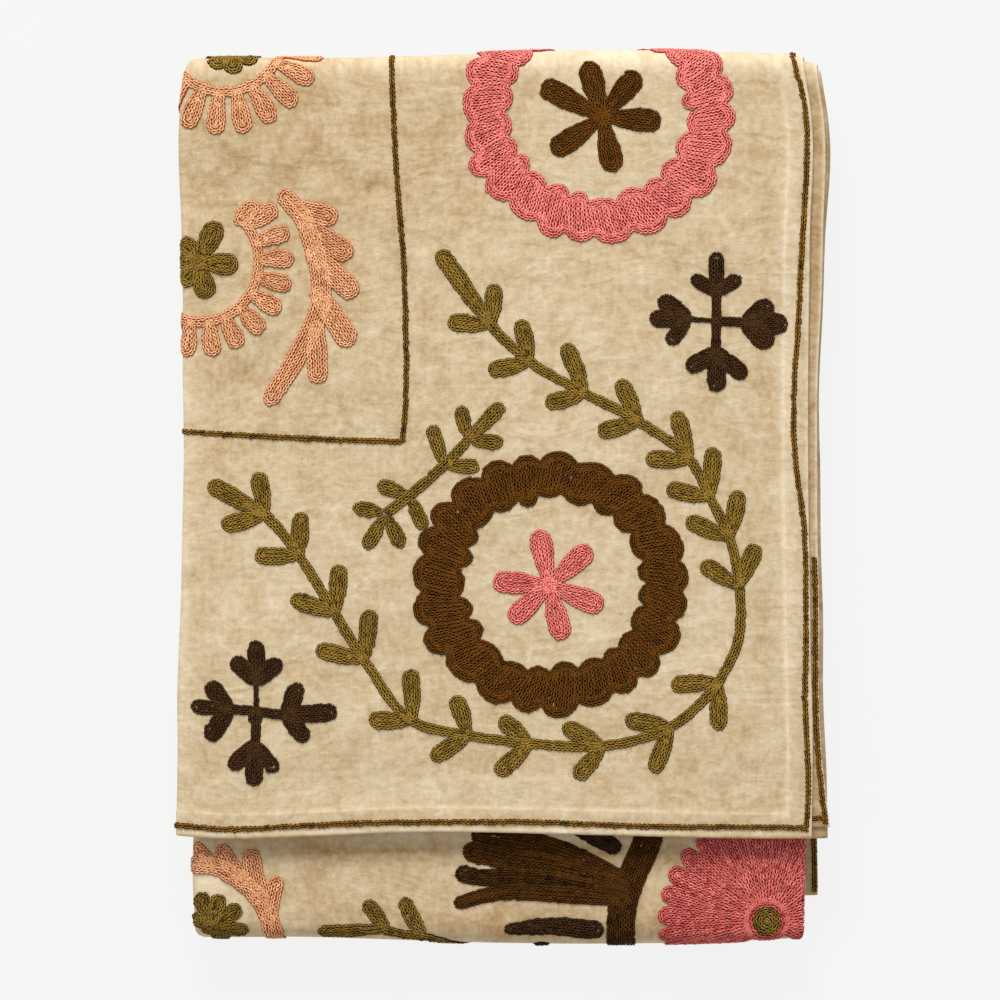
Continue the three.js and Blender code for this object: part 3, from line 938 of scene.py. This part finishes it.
# %% Vine
# Each joint of a stem and the tips of its leaves.
VINE = [
    ((-11.2, 98.2), []), ((-6.2, 91.8), [(-34.8, 132.4), (-4.6, 114.8), (-30.0, 94.2)]),
    ((14.7, 72.5), [(9.0, 95.5), (-8.3, 67.7)]), ((44.3, 55.7), [(33.1, 82.7), (22.2, 50.0)]),
    ((73.2, 40.5), [(62.0, 63.4), (50.3, 34.8)]), ((100.4, 19.7), [(92.4, 46.5), (76.0, 21.1)]),
    ((110.9, -0.4), [(112.5, 27.3), (87.2, 5.2)]), ((121.3, -22.0), [(126.1, 4.2), (97.6, -11.6)]),
    ((126.1, -47.7), [(135.7, -24.7), (105.7, -34.8)]), ((125.7, -76.2), []),
    ((115.2, -98.3), [(89.6, -100.2), (115.2, -124.7)]),
    ((90.1, -122.3), [(65.0, -118.6), (80.2, -147.4)]),
    ((53.9, -132.7), [(31.8, -121.7), (38.6, -150.4)]),
    ((15.1, -131.5), [(-2.0, -117.5), (-3.9, -148.0)]),
    ((-18.0, -127.2), [(-26.0, -105.8), (-38.8, -139.4)]),
    ((-48.1, -119.8), [(-49.8, -91.2), (-72.3, -118.7)]),
    ((-74.0, -87.2), [(-71.2, -59.6), (-100.4, -81.0)]),
    ((-89.8, -62.4), [(-87.5, -35.4), (-114.0, -53.4)]),
    ((-108.9, -31.5), [(-108.3, -7.3), (-133.1, -30.9)]),
    ((-126.9, -9.5), [(-157.9, 8.0), (-131.4, 14.1), (-151.1, -15.1)]), ((-137.5, -1.9), []),
]
BRANCH = [
    ((-62.8, -8.3), [(-80.7, -5.0), (-74.0, -27.6), (-53.8, -27.0)]),
    ((-50.3, 1.2), [(-67.8, 7.4), (-41.9, -17.3)]), ((-31.8, 17.3), [(-38.5, 39.3), (-12.3, 16.5)]),
    ((-19.0, 30.9), [(-23.0, 49.6), (0.2, 50.6), (0.5, 29.3)]), ((-12.3, 38.3), []),
]
STEM_ROWS = 2
LEAF_CLEAR = 2.6
for stem in (VINE, BRANCH):
    sew_band("olive", "top", [joint for joint, _ in stem], STEM_ROWS)
for stem, wide in ((VINE, 9.4), (BRANCH, 8.2)):
    for joint, tips in stem:
        for tip in tips:
            sew_short_leaf("olive", joint, tip, wide, LEAF_CLEAR, [0.5, 0.86, 1.0, 0.96])
leaves = [sum(len(tips) for _, tips in stem) for stem in (VINE, BRANCH)]
print("leaves on the vine and on its branch:", leaves)

# %% Sprigs
def sew_sprig(centre, arms):
    """A cross of stems, each arm its direction, length and rows, and its lobes.

    A lobe is its direction, length and width.
    """
    for degrees, stem, rows, lobes in arms:
        foot = np.asarray(centre) + heading(degrees) * stem
        sew_band("dark", "top", [centre, (np.asarray(centre) + foot) / 2, foot], rows)
        for turn, length, wide in lobes:
            sew_petal("dark", "top", foot, turn, LEAF_CLEAR, length, wide, 0.9)


sew_sprig((-132.1, -114.2), [
    (90, 16.0, 1, [(90, 22, 9.0), (136, 18, 9.0), (41, 17.5, 9.4)]),
    (176, 15.0, 2, [(126, 18, 9.4), (175, 20.5, 8.2), (-123, 20, 10.2)]),
    (-8, 16.5, 2, [(70, 18.5, 9.4), (4, 27, 9.4), (-52, 17.5, 9.0)]),
    (-92, 18.0, 2, [(-137, 18.5, 9.0), (-92, 22, 9.4), (-51, 19, 8.6)]),
])
sew_leaf("dark", "top", [(-132.7, -118.0), (-132.1, -114.8)], [8.2, 7.0])
sew_sprig((114.0, 94.4), [
    (90, 15.5, 2, [(90, 22, 8.6), (148, 16, 7.6), (32, 15.5, 7.8)]),
    (-2, 16.4, 2, [(39, 17.5, 11.0), (-3, 21.8, 11.4), (-45, 18.5, 11.4)]),
    (-91, 16.5, 2, [(-150, 18, 9.0), (-88, 21.5, 10.0), (-39, 21, 9.0)]),
    (175, 15.3, 1, [(143, 19, 9.0), (180, 20.5, 9.0), (-127, 17.5, 8.0)]),
])
print("rows so far:", len(stitch_rows))

# %% [markdown]
# ## The salmon rosettes and the framed corner
#
# In the far left corner a thin brown line frames half of the larger pattern. A rosette is a band
# of two rows on part of a circle with short fat petals standing on it, and an olive flower in
# its middle. The folds cut both rosettes, so they run on round the folds. Beside them stands a
# long salmon leaf with lobes along one side.

# %% Rosettes
def sew_rosette(centre, radius, start, sweep, petals, petal_start, petal_step, tip):
    """A band of two rows round part of a circle, and petals at equal angles outside it."""
    turns = np.radians(start + np.linspace(0, 1, 30) * sweep)
    sew_band("salmon", "top", on_circle(centre, radius, turns), 2)
    for petal in range(petals):
        degrees = petal_start + petal * petal_step
        sew_petal("salmon", "top", centre, degrees, radius + 1.5, tip, 9.6, 0.62)


LEFT_ROSETTE = (-162.6, 126.0)
FAR_ROSETTE = (-149.3, 248.5)
sew_rosette(LEFT_ROSETTE, radius=32.0, start=44, sweep=-190,
            petals=12, petal_start=36, petal_step=-16.8, tip=51.0)
sew_rosette(FAR_ROSETTE, radius=31.5, start=-150, sweep=170,
            petals=9, petal_start=-128.5, petal_step=16.7, tip=54.5)
sew_petal("salmon", "top", LEFT_ROSETTE, 46, 31.0, 44.5, 9.0, 0.7)
left_petals = [(64, 24.0), (-4, 21.5), (-76, 20.0), (-130, 16.0), (128, 16.0), (178, 13.0)]
far_petals = [(-168, 15.5), (-122, 19.0), (-86, 19.5), (-44, 18.5), (0, 16.0), (120, 12.0)]
sew_flower("olive", "top", (-163.2, 126.0), left_petals, 11.6, 0.55)
sew_flower("olive", "top", (-145.5, 245.8), far_petals, 11.0, 0.55)

# %% Lobed leaf and frame line
LOBED_SPINE = [
    (-116.6, 160.8), (-107.5, 150.6), (-101.7, 135.1), (-97.9, 119.6), (-97.4, 104.6),
    (-102.2, 90.7), (-110.7, 74.6), (-124.1, 53.2),
]
# Columns: foot, tip and width of each lobe.
LOBES = [
    ((-109.1, 154.9), (-88.3, 149.0), 11.0), ((-104.9, 145.3), (-81.3, 128.7), 11.6),
    ((-101.1, 130.3), (-78.6, 107.8), 11.6), ((-99.0, 108.9), (-80.8, 81.1), 11.4),
    ((-100.0, 90.7), (-99.0, 60.7), 11.0),
]
sew_leaf("salmon", "top", LOBED_SPINE, [9.4, 10.2, 10.4, 10.4, 10.4, 10.2, 10.0, 9.0])
for foot, tip, wide in LOBES:
    sew_short_leaf("salmon", foot, tip, wide, 0.0, [0.8, 1.0, 1.0])
FRAME_DOWN = [
    (-59.9, 250.1), (-59.9, 235.7), (-58.9, 202.0), (-56.2, 159.2), (-54.0, 132.4), (-52.4, 89.6),
    (-52.4, 52.2), (-54.0, 30.2),
]
FRAME_ACROSS = [
    (-54.0, 30.2), (-81.9, 31.0), (-108.6, 32.1), (-135.4, 33.4), (-171.2, 35.6), (-183.5, 36.1),
]
for frame_line in (FRAME_DOWN, FRAME_ACROSS):
    sew("line", "top", smooth_path(frame_line))
print("rows so far:", len(stitch_rows))

# %% [markdown]
# ## The chain lines on the hems
#
# One row of brown chain holds down the turned hem all round. It wanders: near the far end it
# lies further in. These rows are written in the cloth's own across and along. The fourth panel's
# hem looks out beside the first with its back up, and the last leaf's with its front up.

# %% Hem lines
HEM_WANDER = np.array([
    (2, 3.4), (18, 2.3), (40, 2.6), (72, 3.6), (104, 2.4), (126, 2.2), (161, 2.2), (174, 3.2),
    (190, 5.6), (211, 7.4), (243, 7.4), (270, 5.8), (307, 4.4), (323, 3.7), (357, 3.2), (381, 3.0),
    (400, 3.4), (420, 6.0), (432, 6.0),
])
FOURTH_INSET, LAST_LEAF_INSET, END_INSET = 1.9, 2.2, 5.4


def hem_row(start, end, count):
    """A straight row from start to end, each given as its across and its along."""
    return np.column_stack([np.linspace(a, b, count) for a, b in zip(start, end)])


side_line = hem_row((0, 4), (0, 430), 700)
side_line[:, 0] = table_at(HEM_WANDER, side_line[:, 1])[0]
end_line = np.column_stack([np.linspace(3.4, 348, 500), 6.0 + 0.4 * np.sin(np.linspace(0, 19, 500))])
fourth, last_leaf = THROW_WIDTH - FOURTH_INSET, THROW_WIDTH - LAST_LEAF_INSET
sew("line", "cloth", side_line)
sew("line", "cloth", end_line)
sew("line", "back", hem_row((fourth, 2), (fourth, 150), 300))
sew("line", "back", hem_row((THROW_WIDTH - 30, END_INSET), (THROW_WIDTH - 2, END_INSET), 40))
sew("line", "cloth", hem_row((last_leaf, THROW_LENGTH - 44), (last_leaf, THROW_LENGTH - 2), 200))
print("hem lines, mm:", round(np.ptp(side_line[:, 1])), round(np.ptp(end_line[:, 0])))

# %% [markdown]
# ## The strip of the second leaf
#
# Below the top leaf's hem a strip of the second panel shows, with parts of larger motifs: a
# salmon band with its olive flower, a few vine leaves, a brown leaf with long fingers on a thick
# stem, and a pink fan round an olive dot. They go on under the hem and round the near fold.

# %% Motifs on the strip
STRIP_BAND = [
    (-165.9, -197.1), (-159.4, -197.1), (-153.0, -198.2), (-145.0, -202.2), (-136.4, -208.9),
    (-130.3, -215.6), (-125.5, -225.5), (-123.1, -234.6), (-120.9, -243.2),
]
OLIVE_STEM = [
    (-63.7, -231.4), (-54.0, -233.5), (-44.4, -235.1), (-34.8, -237.8), (-25.1, -242.6),
    (-17.7, -247.4),
]
BROWN_STEM = [
    (78.6, -179.0), (76.0, -187.5), (70.1, -200.4), (64.7, -215.3), (62.9, -227.1), (63.1, -237.8),
    (63.7, -247.4),
]
# Columns: yarn, points of the leaf's spine, and widths along it.
SALMON_LOBES = [
    ("salmon", [(-158.4, -196.6), (-161.0, -192.3), (-164.2, -187.5)], [9.4, 8.0, 6.0]),
    ("salmon", [(-140.7, -204.6), (-146.1, -197.1), (-150.3, -189.7)], [9.2, 8.8, 8.4]),
    ("salmon", [(-130.5, -213.7), (-133.2, -203.6), (-135.1, -193.4)], [10.0, 10.2, 10.2]),
    ("salmon", [(-125.7, -225.0), (-123.6, -215.3), (-121.7, -206.5)], [8.6, 8.4, 8.0]),
]
OLIVE_LEAVES = [
    ("olive", [(-63.7, -230.3), (-81.9, -231.9), (-95.8, -232.5)], [5.4, 7.4, 7.2]),
    ("olive", [(-63.7, -228.7), (-67.9, -223.4), (-71.7, -218.5)], [6.4, 8.6, 8.4]),
    ("olive", [(-44.4, -232.5), (-48.7, -225.0), (-52.4, -217.5)], [6.4, 8.6, 8.4]),
]
BROWN_FINGERS = [
    ("brown", [(64.7, -215.9), (30.5, -212.9), (-1.6, -211.9), (-12.3, -213.7), (-23.0, -216.9)],
     [6.4, 8.2, 8.8, 8.6, 7.5, 7.0]),
    ("brown", [(64.7, -211.6), (30.5, -205.7), (-1.6, -203.3), (-11.8, -203.6), (-21.4, -201.4)],
     [6.4, 8.6, 10.0, 9.8, 9.0, 9.0]),
    ("brown", [(64.7, -207.8), (30.5, -198.0), (-1.6, -192.9), (-16.1, -189.7)],
     [6.4, 9.2, 11.2, 11.6, 11.2, 11.0]),
    ("brown", [(64.7, -204.1), (30.5, -189.7), (9.1, -183.8), (-12.8, -180.6)],
     [6.4, 9.8, 11.6, 11.2, 9.0]),
]
DARK_LEAVES = [
    ("dark", [(36.9, -175.7), (48.7, -181.6), (58.9, -187.0)], [7.4, 9.2, 9.0]),
    ("dark", [(3.2, -231.4), (25.1, -230.1), (48.7, -232.5)], [6.2, 8.8, 9.8, 10.8, 11.0]),
    ("dark", [(18.2, -242.6), (23.0, -242.6)], [4.0, 4.0]),
]
STRIP_PETALS = [(106, 20.5), (74, 19.5), (37, 20.5), (-4, 21.0), (-50, 15.0), (150, 13.0)]


def sew_leaves(leaves):
    """Sews each leaf of a table on the strip."""
    for colour, spine, widths in leaves:
        sew_leaf(colour, "strip", spine, widths)


sew_leaf("salmon", "strip", STRIP_BAND, [9.6, 9.6, 9.8, 10.0, 10.0])
sew_leaves(SALMON_LOBES)
sew_flower("olive", "strip", (-157.3, -231.4), STRIP_PETALS, 8.8, 0.5)
sew_band("olive", "strip", OLIVE_STEM, 2)
sew_leaves(OLIVE_LEAVES + BROWN_FINGERS)
sew_band("brown", "strip", BROWN_STEM, 6)
sew_leaves(DARK_LEAVES)
FAN_CENTRE = (141.0, -226.6)
for petal in range(22):
    sew_petal("pink", "strip", FAN_CENTRE, -30 + 12.2 * petal, 10.0, 58.5, 9.8, 0.30)
for radius in (9.0, 11.2):
    sew("pink", "strip", ring_round(FAN_CENTRE, radius))
for radius in (1.3, 3.9, 6.4):
    sew("olive", "strip", ring_round(FAN_CENTRE, radius))
print("rows in all:", len(stitch_rows))

# %% Make the six pieces of embroidery
COLOURS = ("pink", "brown", "olive", "dark", "salmon", "line")
embroidery = {colour: sew_piece(colour + "_embroidery", colour) for colour in COLOURS}

# %% [markdown]
# ## Finishes
#
# Two finishes cover everything. The velvet is a matt cotton pile: its colour drifts in clouds
# where the pile is crushed, it has a fine grain and a pale bloom at a low angle, which is what
# sheen is for. The yarn is soft and matt with a twist in it, so its colour runs from the yarn's
# light to its shade across each ply. Six yarns share that look, so it is one node group with the
# two colours and their contrast as inputs, and each yarn's material gives it its own.

# %% Helpers for nodes
def add_node(tree, kind, **settings):
    """Adds a node; a setting whose name is an input sets that socket, any other sets the node."""
    node = tree.nodes.new(kind)
    for key, value in settings.items():
        if key in node.inputs:
            node.inputs[key].default_value = value
        else:
            setattr(node, key, value)
    return node


def sums(tree, operation, first, second, clamp=False):
    """A math node on two sockets or numbers; returns its result."""
    node = add_node(tree, "ShaderNodeMath", operation=operation, use_clamp=clamp)
    for socket, value in zip(node.inputs, (first, second)):
        if isinstance(value, (int, float)):
            socket.default_value = value
        else:
            tree.links.new(value, socket)
    return node.outputs[0]


def noise_on(tree, place_socket, stretch, scale, detail, roughness, distortion=0.0):
    """Noise on a place stretched by three numbers; returns its 0-to-1 value."""
    mapping = add_node(tree, "ShaderNodeMapping", vector_type="POINT", Scale=stretch)
    noise = add_node(tree, "ShaderNodeTexNoise", Scale=scale, Detail=detail, Roughness=roughness,
                     Distortion=distortion)
    tree.links.new(place_socket, mapping.inputs["Vector"])
    tree.links.new(mapping.outputs[0], noise.inputs["Vector"])
    return noise.outputs[0]


def set_sockets(node, values):
    """Gives sockets their values by name."""
    for name, value in values.items():
        node.inputs[name].default_value = value


def srgb(code):
    """A picture colour such as D9C7A2 as linear values: ((c + 0.055) / 1.055)^2.4 above 0.04."""
    values = np.array([int(code[i:i + 2], 16) / 255 for i in (0, 2, 4)])
    linear = np.where(values > 0.04045, ((values + 0.055) / 1.055) ** 2.4, values / 12.92)
    return (*linear.tolist(), 1.0)


def new_material(name):
    """A new material, its tree and its shader."""
    material = bpy.data.materials.new(name)
    material.use_nodes = True
    return material, material.node_tree, material.node_tree.nodes["Principled BSDF"]


# %% Velvet
VELVET_SHADE, VELVET_MID, VELVET_LIGHT = "9A7444", "C2AE8C", "DDD1B8"
VELVET_BLOOM = "F4E8CC"


def velvet_material():
    """Colour by lean and painted light + clouds + streaks + grain through a ramp; bump by clouds, grain
    and creases.
    """
    material, tree, shader = new_material("beige_cotton_velvet")
    uv = add_node(tree, "ShaderNodeUVMap", uv_map="laid_flat").outputs[0]
    # The lean value holds the pile's lean with painted highlights and painted shade.
    lean = add_node(tree, "ShaderNodeAttribute", attribute_name="lean").outputs["Fac"]
    # Each noise: its stretch over the flat cloth, then scale, detail, roughness and distortion.
    clouds = noise_on(tree, uv, (1, 1, 1), 62, 5, 0.62, 0.5)
    small_clouds = noise_on(tree, uv, (1, 1.25, 1), 230, 4, 0.6, 0.3)
    streaks = noise_on(tree, uv, (1.0, 0.28, 1), 420, 3, 0.6)
    weft = noise_on(tree, uv, (0.03, 1, 1), 300, 2, 0.5)
    grain = noise_on(tree, uv, (1, 1, 1), 1500, 2, 0.6)
    tone = sums(tree, "MULTIPLY_ADD", clouds, 0.68)
    tone.node.inputs[2].default_value = 0.145
    for value, amount in ((small_clouds, 0.55), (streaks, 0.28), (weft, 0.16), (grain, 0.34)):
        part = sums(tree, "MULTIPLY", sums(tree, "SUBTRACT", value, 0.5), amount)
        tone = sums(tree, "ADD", tone, part)
    tone = sums(tree, "ADD", tone, sums(tree, "MULTIPLY", lean, 0.30), clamp=True)
    ramp = add_node(tree, "ShaderNodeValToRGB")
    ends = zip(ramp.color_ramp.elements, (0.08, 0.92), (VELVET_SHADE, VELVET_LIGHT))
    for element, position, colour in ends:
        element.position, element.color = position, srgb(colour)
    ramp.color_ramp.elements.new(0.5).color = srgb(VELVET_MID)
    tree.links.new(tone, ramp.inputs[0])
    tree.links.new(ramp.outputs[0], shader.inputs["Base Color"])
    folds = noise_on(tree, uv, (1.0, 1.9, 1), 17, 3, 0.5, 1.2)
    creases = sums(tree, "ABSOLUTE", sums(tree, "SUBTRACT", folds, 0.5), 0.0)
    height = sums(tree, "MULTIPLY", clouds, 1.1)
    for value, amount in ((small_clouds, 0.55), (grain, 0.16), (creases, -3.0)):
        height = sums(tree, "ADD", height, sums(tree, "MULTIPLY", value, amount))
    bump = add_node(tree, "ShaderNodeBump", Strength=0.55, Distance=0.0011)
    tree.links.new(height, bump.inputs["Height"])
    tree.links.new(bump.outputs[0], shader.inputs["Normal"])
    set_sockets(shader, {
        "Roughness": 0.92, "Specular IOR Level": 0.12, "Sheen Weight": 0.2,
        "Sheen Roughness": 0.45, "Sheen Tint": srgb(VELVET_BLOOM),
    })
    return material


cloth.data.materials.append(velvet_material())
print("velvet nodes:", len(cloth.data.materials[0].node_tree.nodes))

# %% Yarn group
TWIST_PER_BEND, FULL_TURN = 5.2, 6.2832


def yarn_group():
    """Twist = waves along and round the yarn; colour = shade to light by tone + twist."""
    group = bpy.data.node_groups.new("twisted_yarn", "ShaderNodeTree")
    sockets = (("Shade", "INPUT", "NodeSocketColor"), ("Light", "INPUT", "NodeSocketColor"),
               ("Contrast", "INPUT", "NodeSocketFloat"), ("Color", "OUTPUT", "NodeSocketColor"),
               ("Height", "OUTPUT", "NodeSocketFloat"))
    for name, way, kind in sockets:
        group.interface.new_socket(name=name, in_out=way, socket_type=kind)
    inside = group.nodes.new("NodeGroupInput")
    outside = group.nodes.new("NodeGroupOutput")
    uv = add_node(group, "ShaderNodeUVMap", uv_map="laid_flat").outputs[0]
    tone = add_node(group, "ShaderNodeAttribute", attribute_name="tone").outputs["Fac"]
    parts = add_node(group, "ShaderNodeSeparateXYZ")
    group.links.new(uv, parts.inputs[0])
    along_turns = sums(group, "MULTIPLY", parts.outputs[0], TWIST_PER_BEND)
    turns = sums(group, "ADD", along_turns, sums(group, "MULTIPLY", parts.outputs[1], FULL_TURN))
    twist = sums(group, "SINE", turns, 0.0)
    fuzz = noise_on(group, uv, (1, 2.4, 1), 9.0, 3, 0.6)
    height = sums(group, "ADD", sums(group, "MULTIPLY", twist, 0.5), fuzz)
    swing = sums(group, "ADD", sums(group, "MULTIPLY", twist, 0.10), sums(group, "SUBTRACT", fuzz, 0.5))
    swing = sums(group, "MULTIPLY", swing, inside.outputs["Contrast"])
    amount = sums(group, "ADD", tone, swing, clamp=True)
    mix = add_node(group, "ShaderNodeMix", data_type="RGBA")
    group.links.new(amount, mix.inputs[0])
    group.links.new(inside.outputs["Shade"], mix.inputs[6])
    group.links.new(inside.outputs["Light"], mix.inputs[7])
    group.links.new(mix.outputs[2], outside.inputs["Color"])
    group.links.new(height, outside.inputs["Height"])
    return group


# Each yarn's material, slot, shade, light and contrast.
YARN_LOOK = {
    "pink": ("pink_yarn", "pink_thread", "9C1C28", "FF9488", 0.4),
    "brown": ("brown_yarn", "brown_thread", "0A0300", "73460D", 1.0),
    "olive": ("olive_yarn", "olive_thread", "1A1302", "A07E32", 0.6),
    "dark": ("dark_brown_yarn", "dark_thread", "0B0401", "513418", 0.9),
    "salmon": ("salmon_yarn", "salmon_thread", "A65026", "F8BE8E", 0.4),
    "line": ("hem_line_yarn", "brown_thread", "0E0500", "A07020", 1.1),
}
twisted_yarn = yarn_group()


def yarn_material(name, shade, light, contrast):
    """A matt yarn: the group's colour and height with this yarn's two colours."""
    material, tree, shader = new_material(name)
    node = add_node(tree, "ShaderNodeGroup", node_tree=twisted_yarn, Contrast=contrast)
    set_sockets(node, {"Shade": srgb(shade), "Light": srgb(light)})
    bump = add_node(tree, "ShaderNodeBump", Strength=0.5, Distance=0.00025)
    tree.links.new(node.outputs["Color"], shader.inputs["Base Color"])
    tree.links.new(node.outputs["Height"], bump.inputs["Height"])
    tree.links.new(bump.outputs[0], shader.inputs["Normal"])
    set_sockets(shader, {
        "Roughness": 0.8, "Specular IOR Level": 0.08, "Sheen Weight": 0.02, "Sheen Roughness": 0.5,
    })
    return material


for colour, (material_name, slot, shade, light, contrast) in YARN_LOOK.items():
    piece = embroidery[colour]
    piece.data.materials.append(yarn_material(material_name, shade, light, contrast))
    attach(piece, "root")
    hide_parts("throw_cloth")
print("yarn materials:", len(YARN_LOOK))

# %% Say what the cloth is
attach(cloth, "root")
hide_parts("throw_cloth")

# %% [markdown]
# ## Floor, light and camera
#
# The throw lies on a pale sweep and is seen from straight above through a long lens, so all its
# layers keep nearly the same scale. One wide soft light stands beyond the far edge and rather
# low: it leaves the strip under the hem in shade and draws the relief of the pile. A much weaker
# one stands at the left, and the sky fills the rest.

# %% Floor
FLOOR_SIZE, FLOOR_HEIGHT = 6.0, -0.0004
floor_mesh = bpy.data.meshes.new("floor")
corners = np.array([(-1, -1, 0), (1, -1, 0), (1, 1, 0), (-1, 1, 0)]) * FLOOR_SIZE / 2
floor_mesh.from_pydata(corners.tolist(), [], [(0, 1, 2, 3)])
floor = add_object("floor", floor_mesh)
floor_material, _, floor_shader = new_material("pale_floor")
set_sockets(floor_shader, {
    "Base Color": (0.06, 0.06, 0.06, 1), "Roughness": 1.0, "Specular IOR Level": 0.0,
    "Emission Color": (1, 1, 1, 1), "Emission Strength": 0.85,
})
floor_mesh.materials.append(floor_material)
floor.location.z = FLOOR_HEIGHT

# %% Lights
def soft_light(name, azimuth, elevation, distance, size, watts, colour):
    """A square light aimed at the packet: distance * (cos e cos a, cos e sin a, sin e)."""
    light = bpy.data.lights.new(name, "AREA")
    light.shape, light.size, light.energy, light.color = "SQUARE", size, watts, colour
    lamp = add_object(name, light)
    a, e = math.radians(azimuth), math.radians(elevation)
    level = distance * math.cos(e)
    lamp.location = [level * math.cos(a), level * math.sin(a), distance * math.sin(e)]
    lamp.rotation_euler = (math.pi / 2 - e, 0, a + math.pi / 2)
    return lamp


key = soft_light("key_light", azimuth=97, elevation=34, distance=5.0, size=2.0, watts=280,
                 colour=(1.0, 0.985, 0.965))
fill = soft_light("side_light", azimuth=190, elevation=35, distance=5.0, size=2.4, watts=40,
                  colour=(1.0, 1.0, 1.0))
world = bpy.data.worlds.new("studio")
world.use_nodes = True
set_sockets(world.node_tree.nodes["Background"], {"Color": (1.0, 0.99, 0.975, 1), "Strength": 0.55})
bpy.context.scene.world = world
print("lights:", key.name, fill.name)

# %% Camera
PICTURE_PIXELS = 1000
MM_PER_PIXEL = 0.535
TOP_OF_PACKET = 36.0
CAMERA_HEIGHT = 6.0
SENSOR_WIDTH = 36
VIEW_CENTRE = (-1.6, -1.34)
camera_data = bpy.data.cameras.new("camera")
camera_data.sensor_width = SENSOR_WIDTH
above_top = CAMERA_HEIGHT - TOP_OF_PACKET / 1000
camera_data.lens = SENSOR_WIDTH * above_top / (PICTURE_PIXELS * MM_PER_PIXEL / 1000)
camera = add_object("camera", camera_data)
camera.location = (VIEW_CENTRE[0] / 1000, VIEW_CENTRE[1] / 1000, CAMERA_HEIGHT)
bpy.context.scene.camera = camera
view = bpy.context.scene.view_settings
view.view_transform = "Standard"
view.look = "None"
view.exposure = 0.0
print("lens, mm:", round(camera_data.lens))
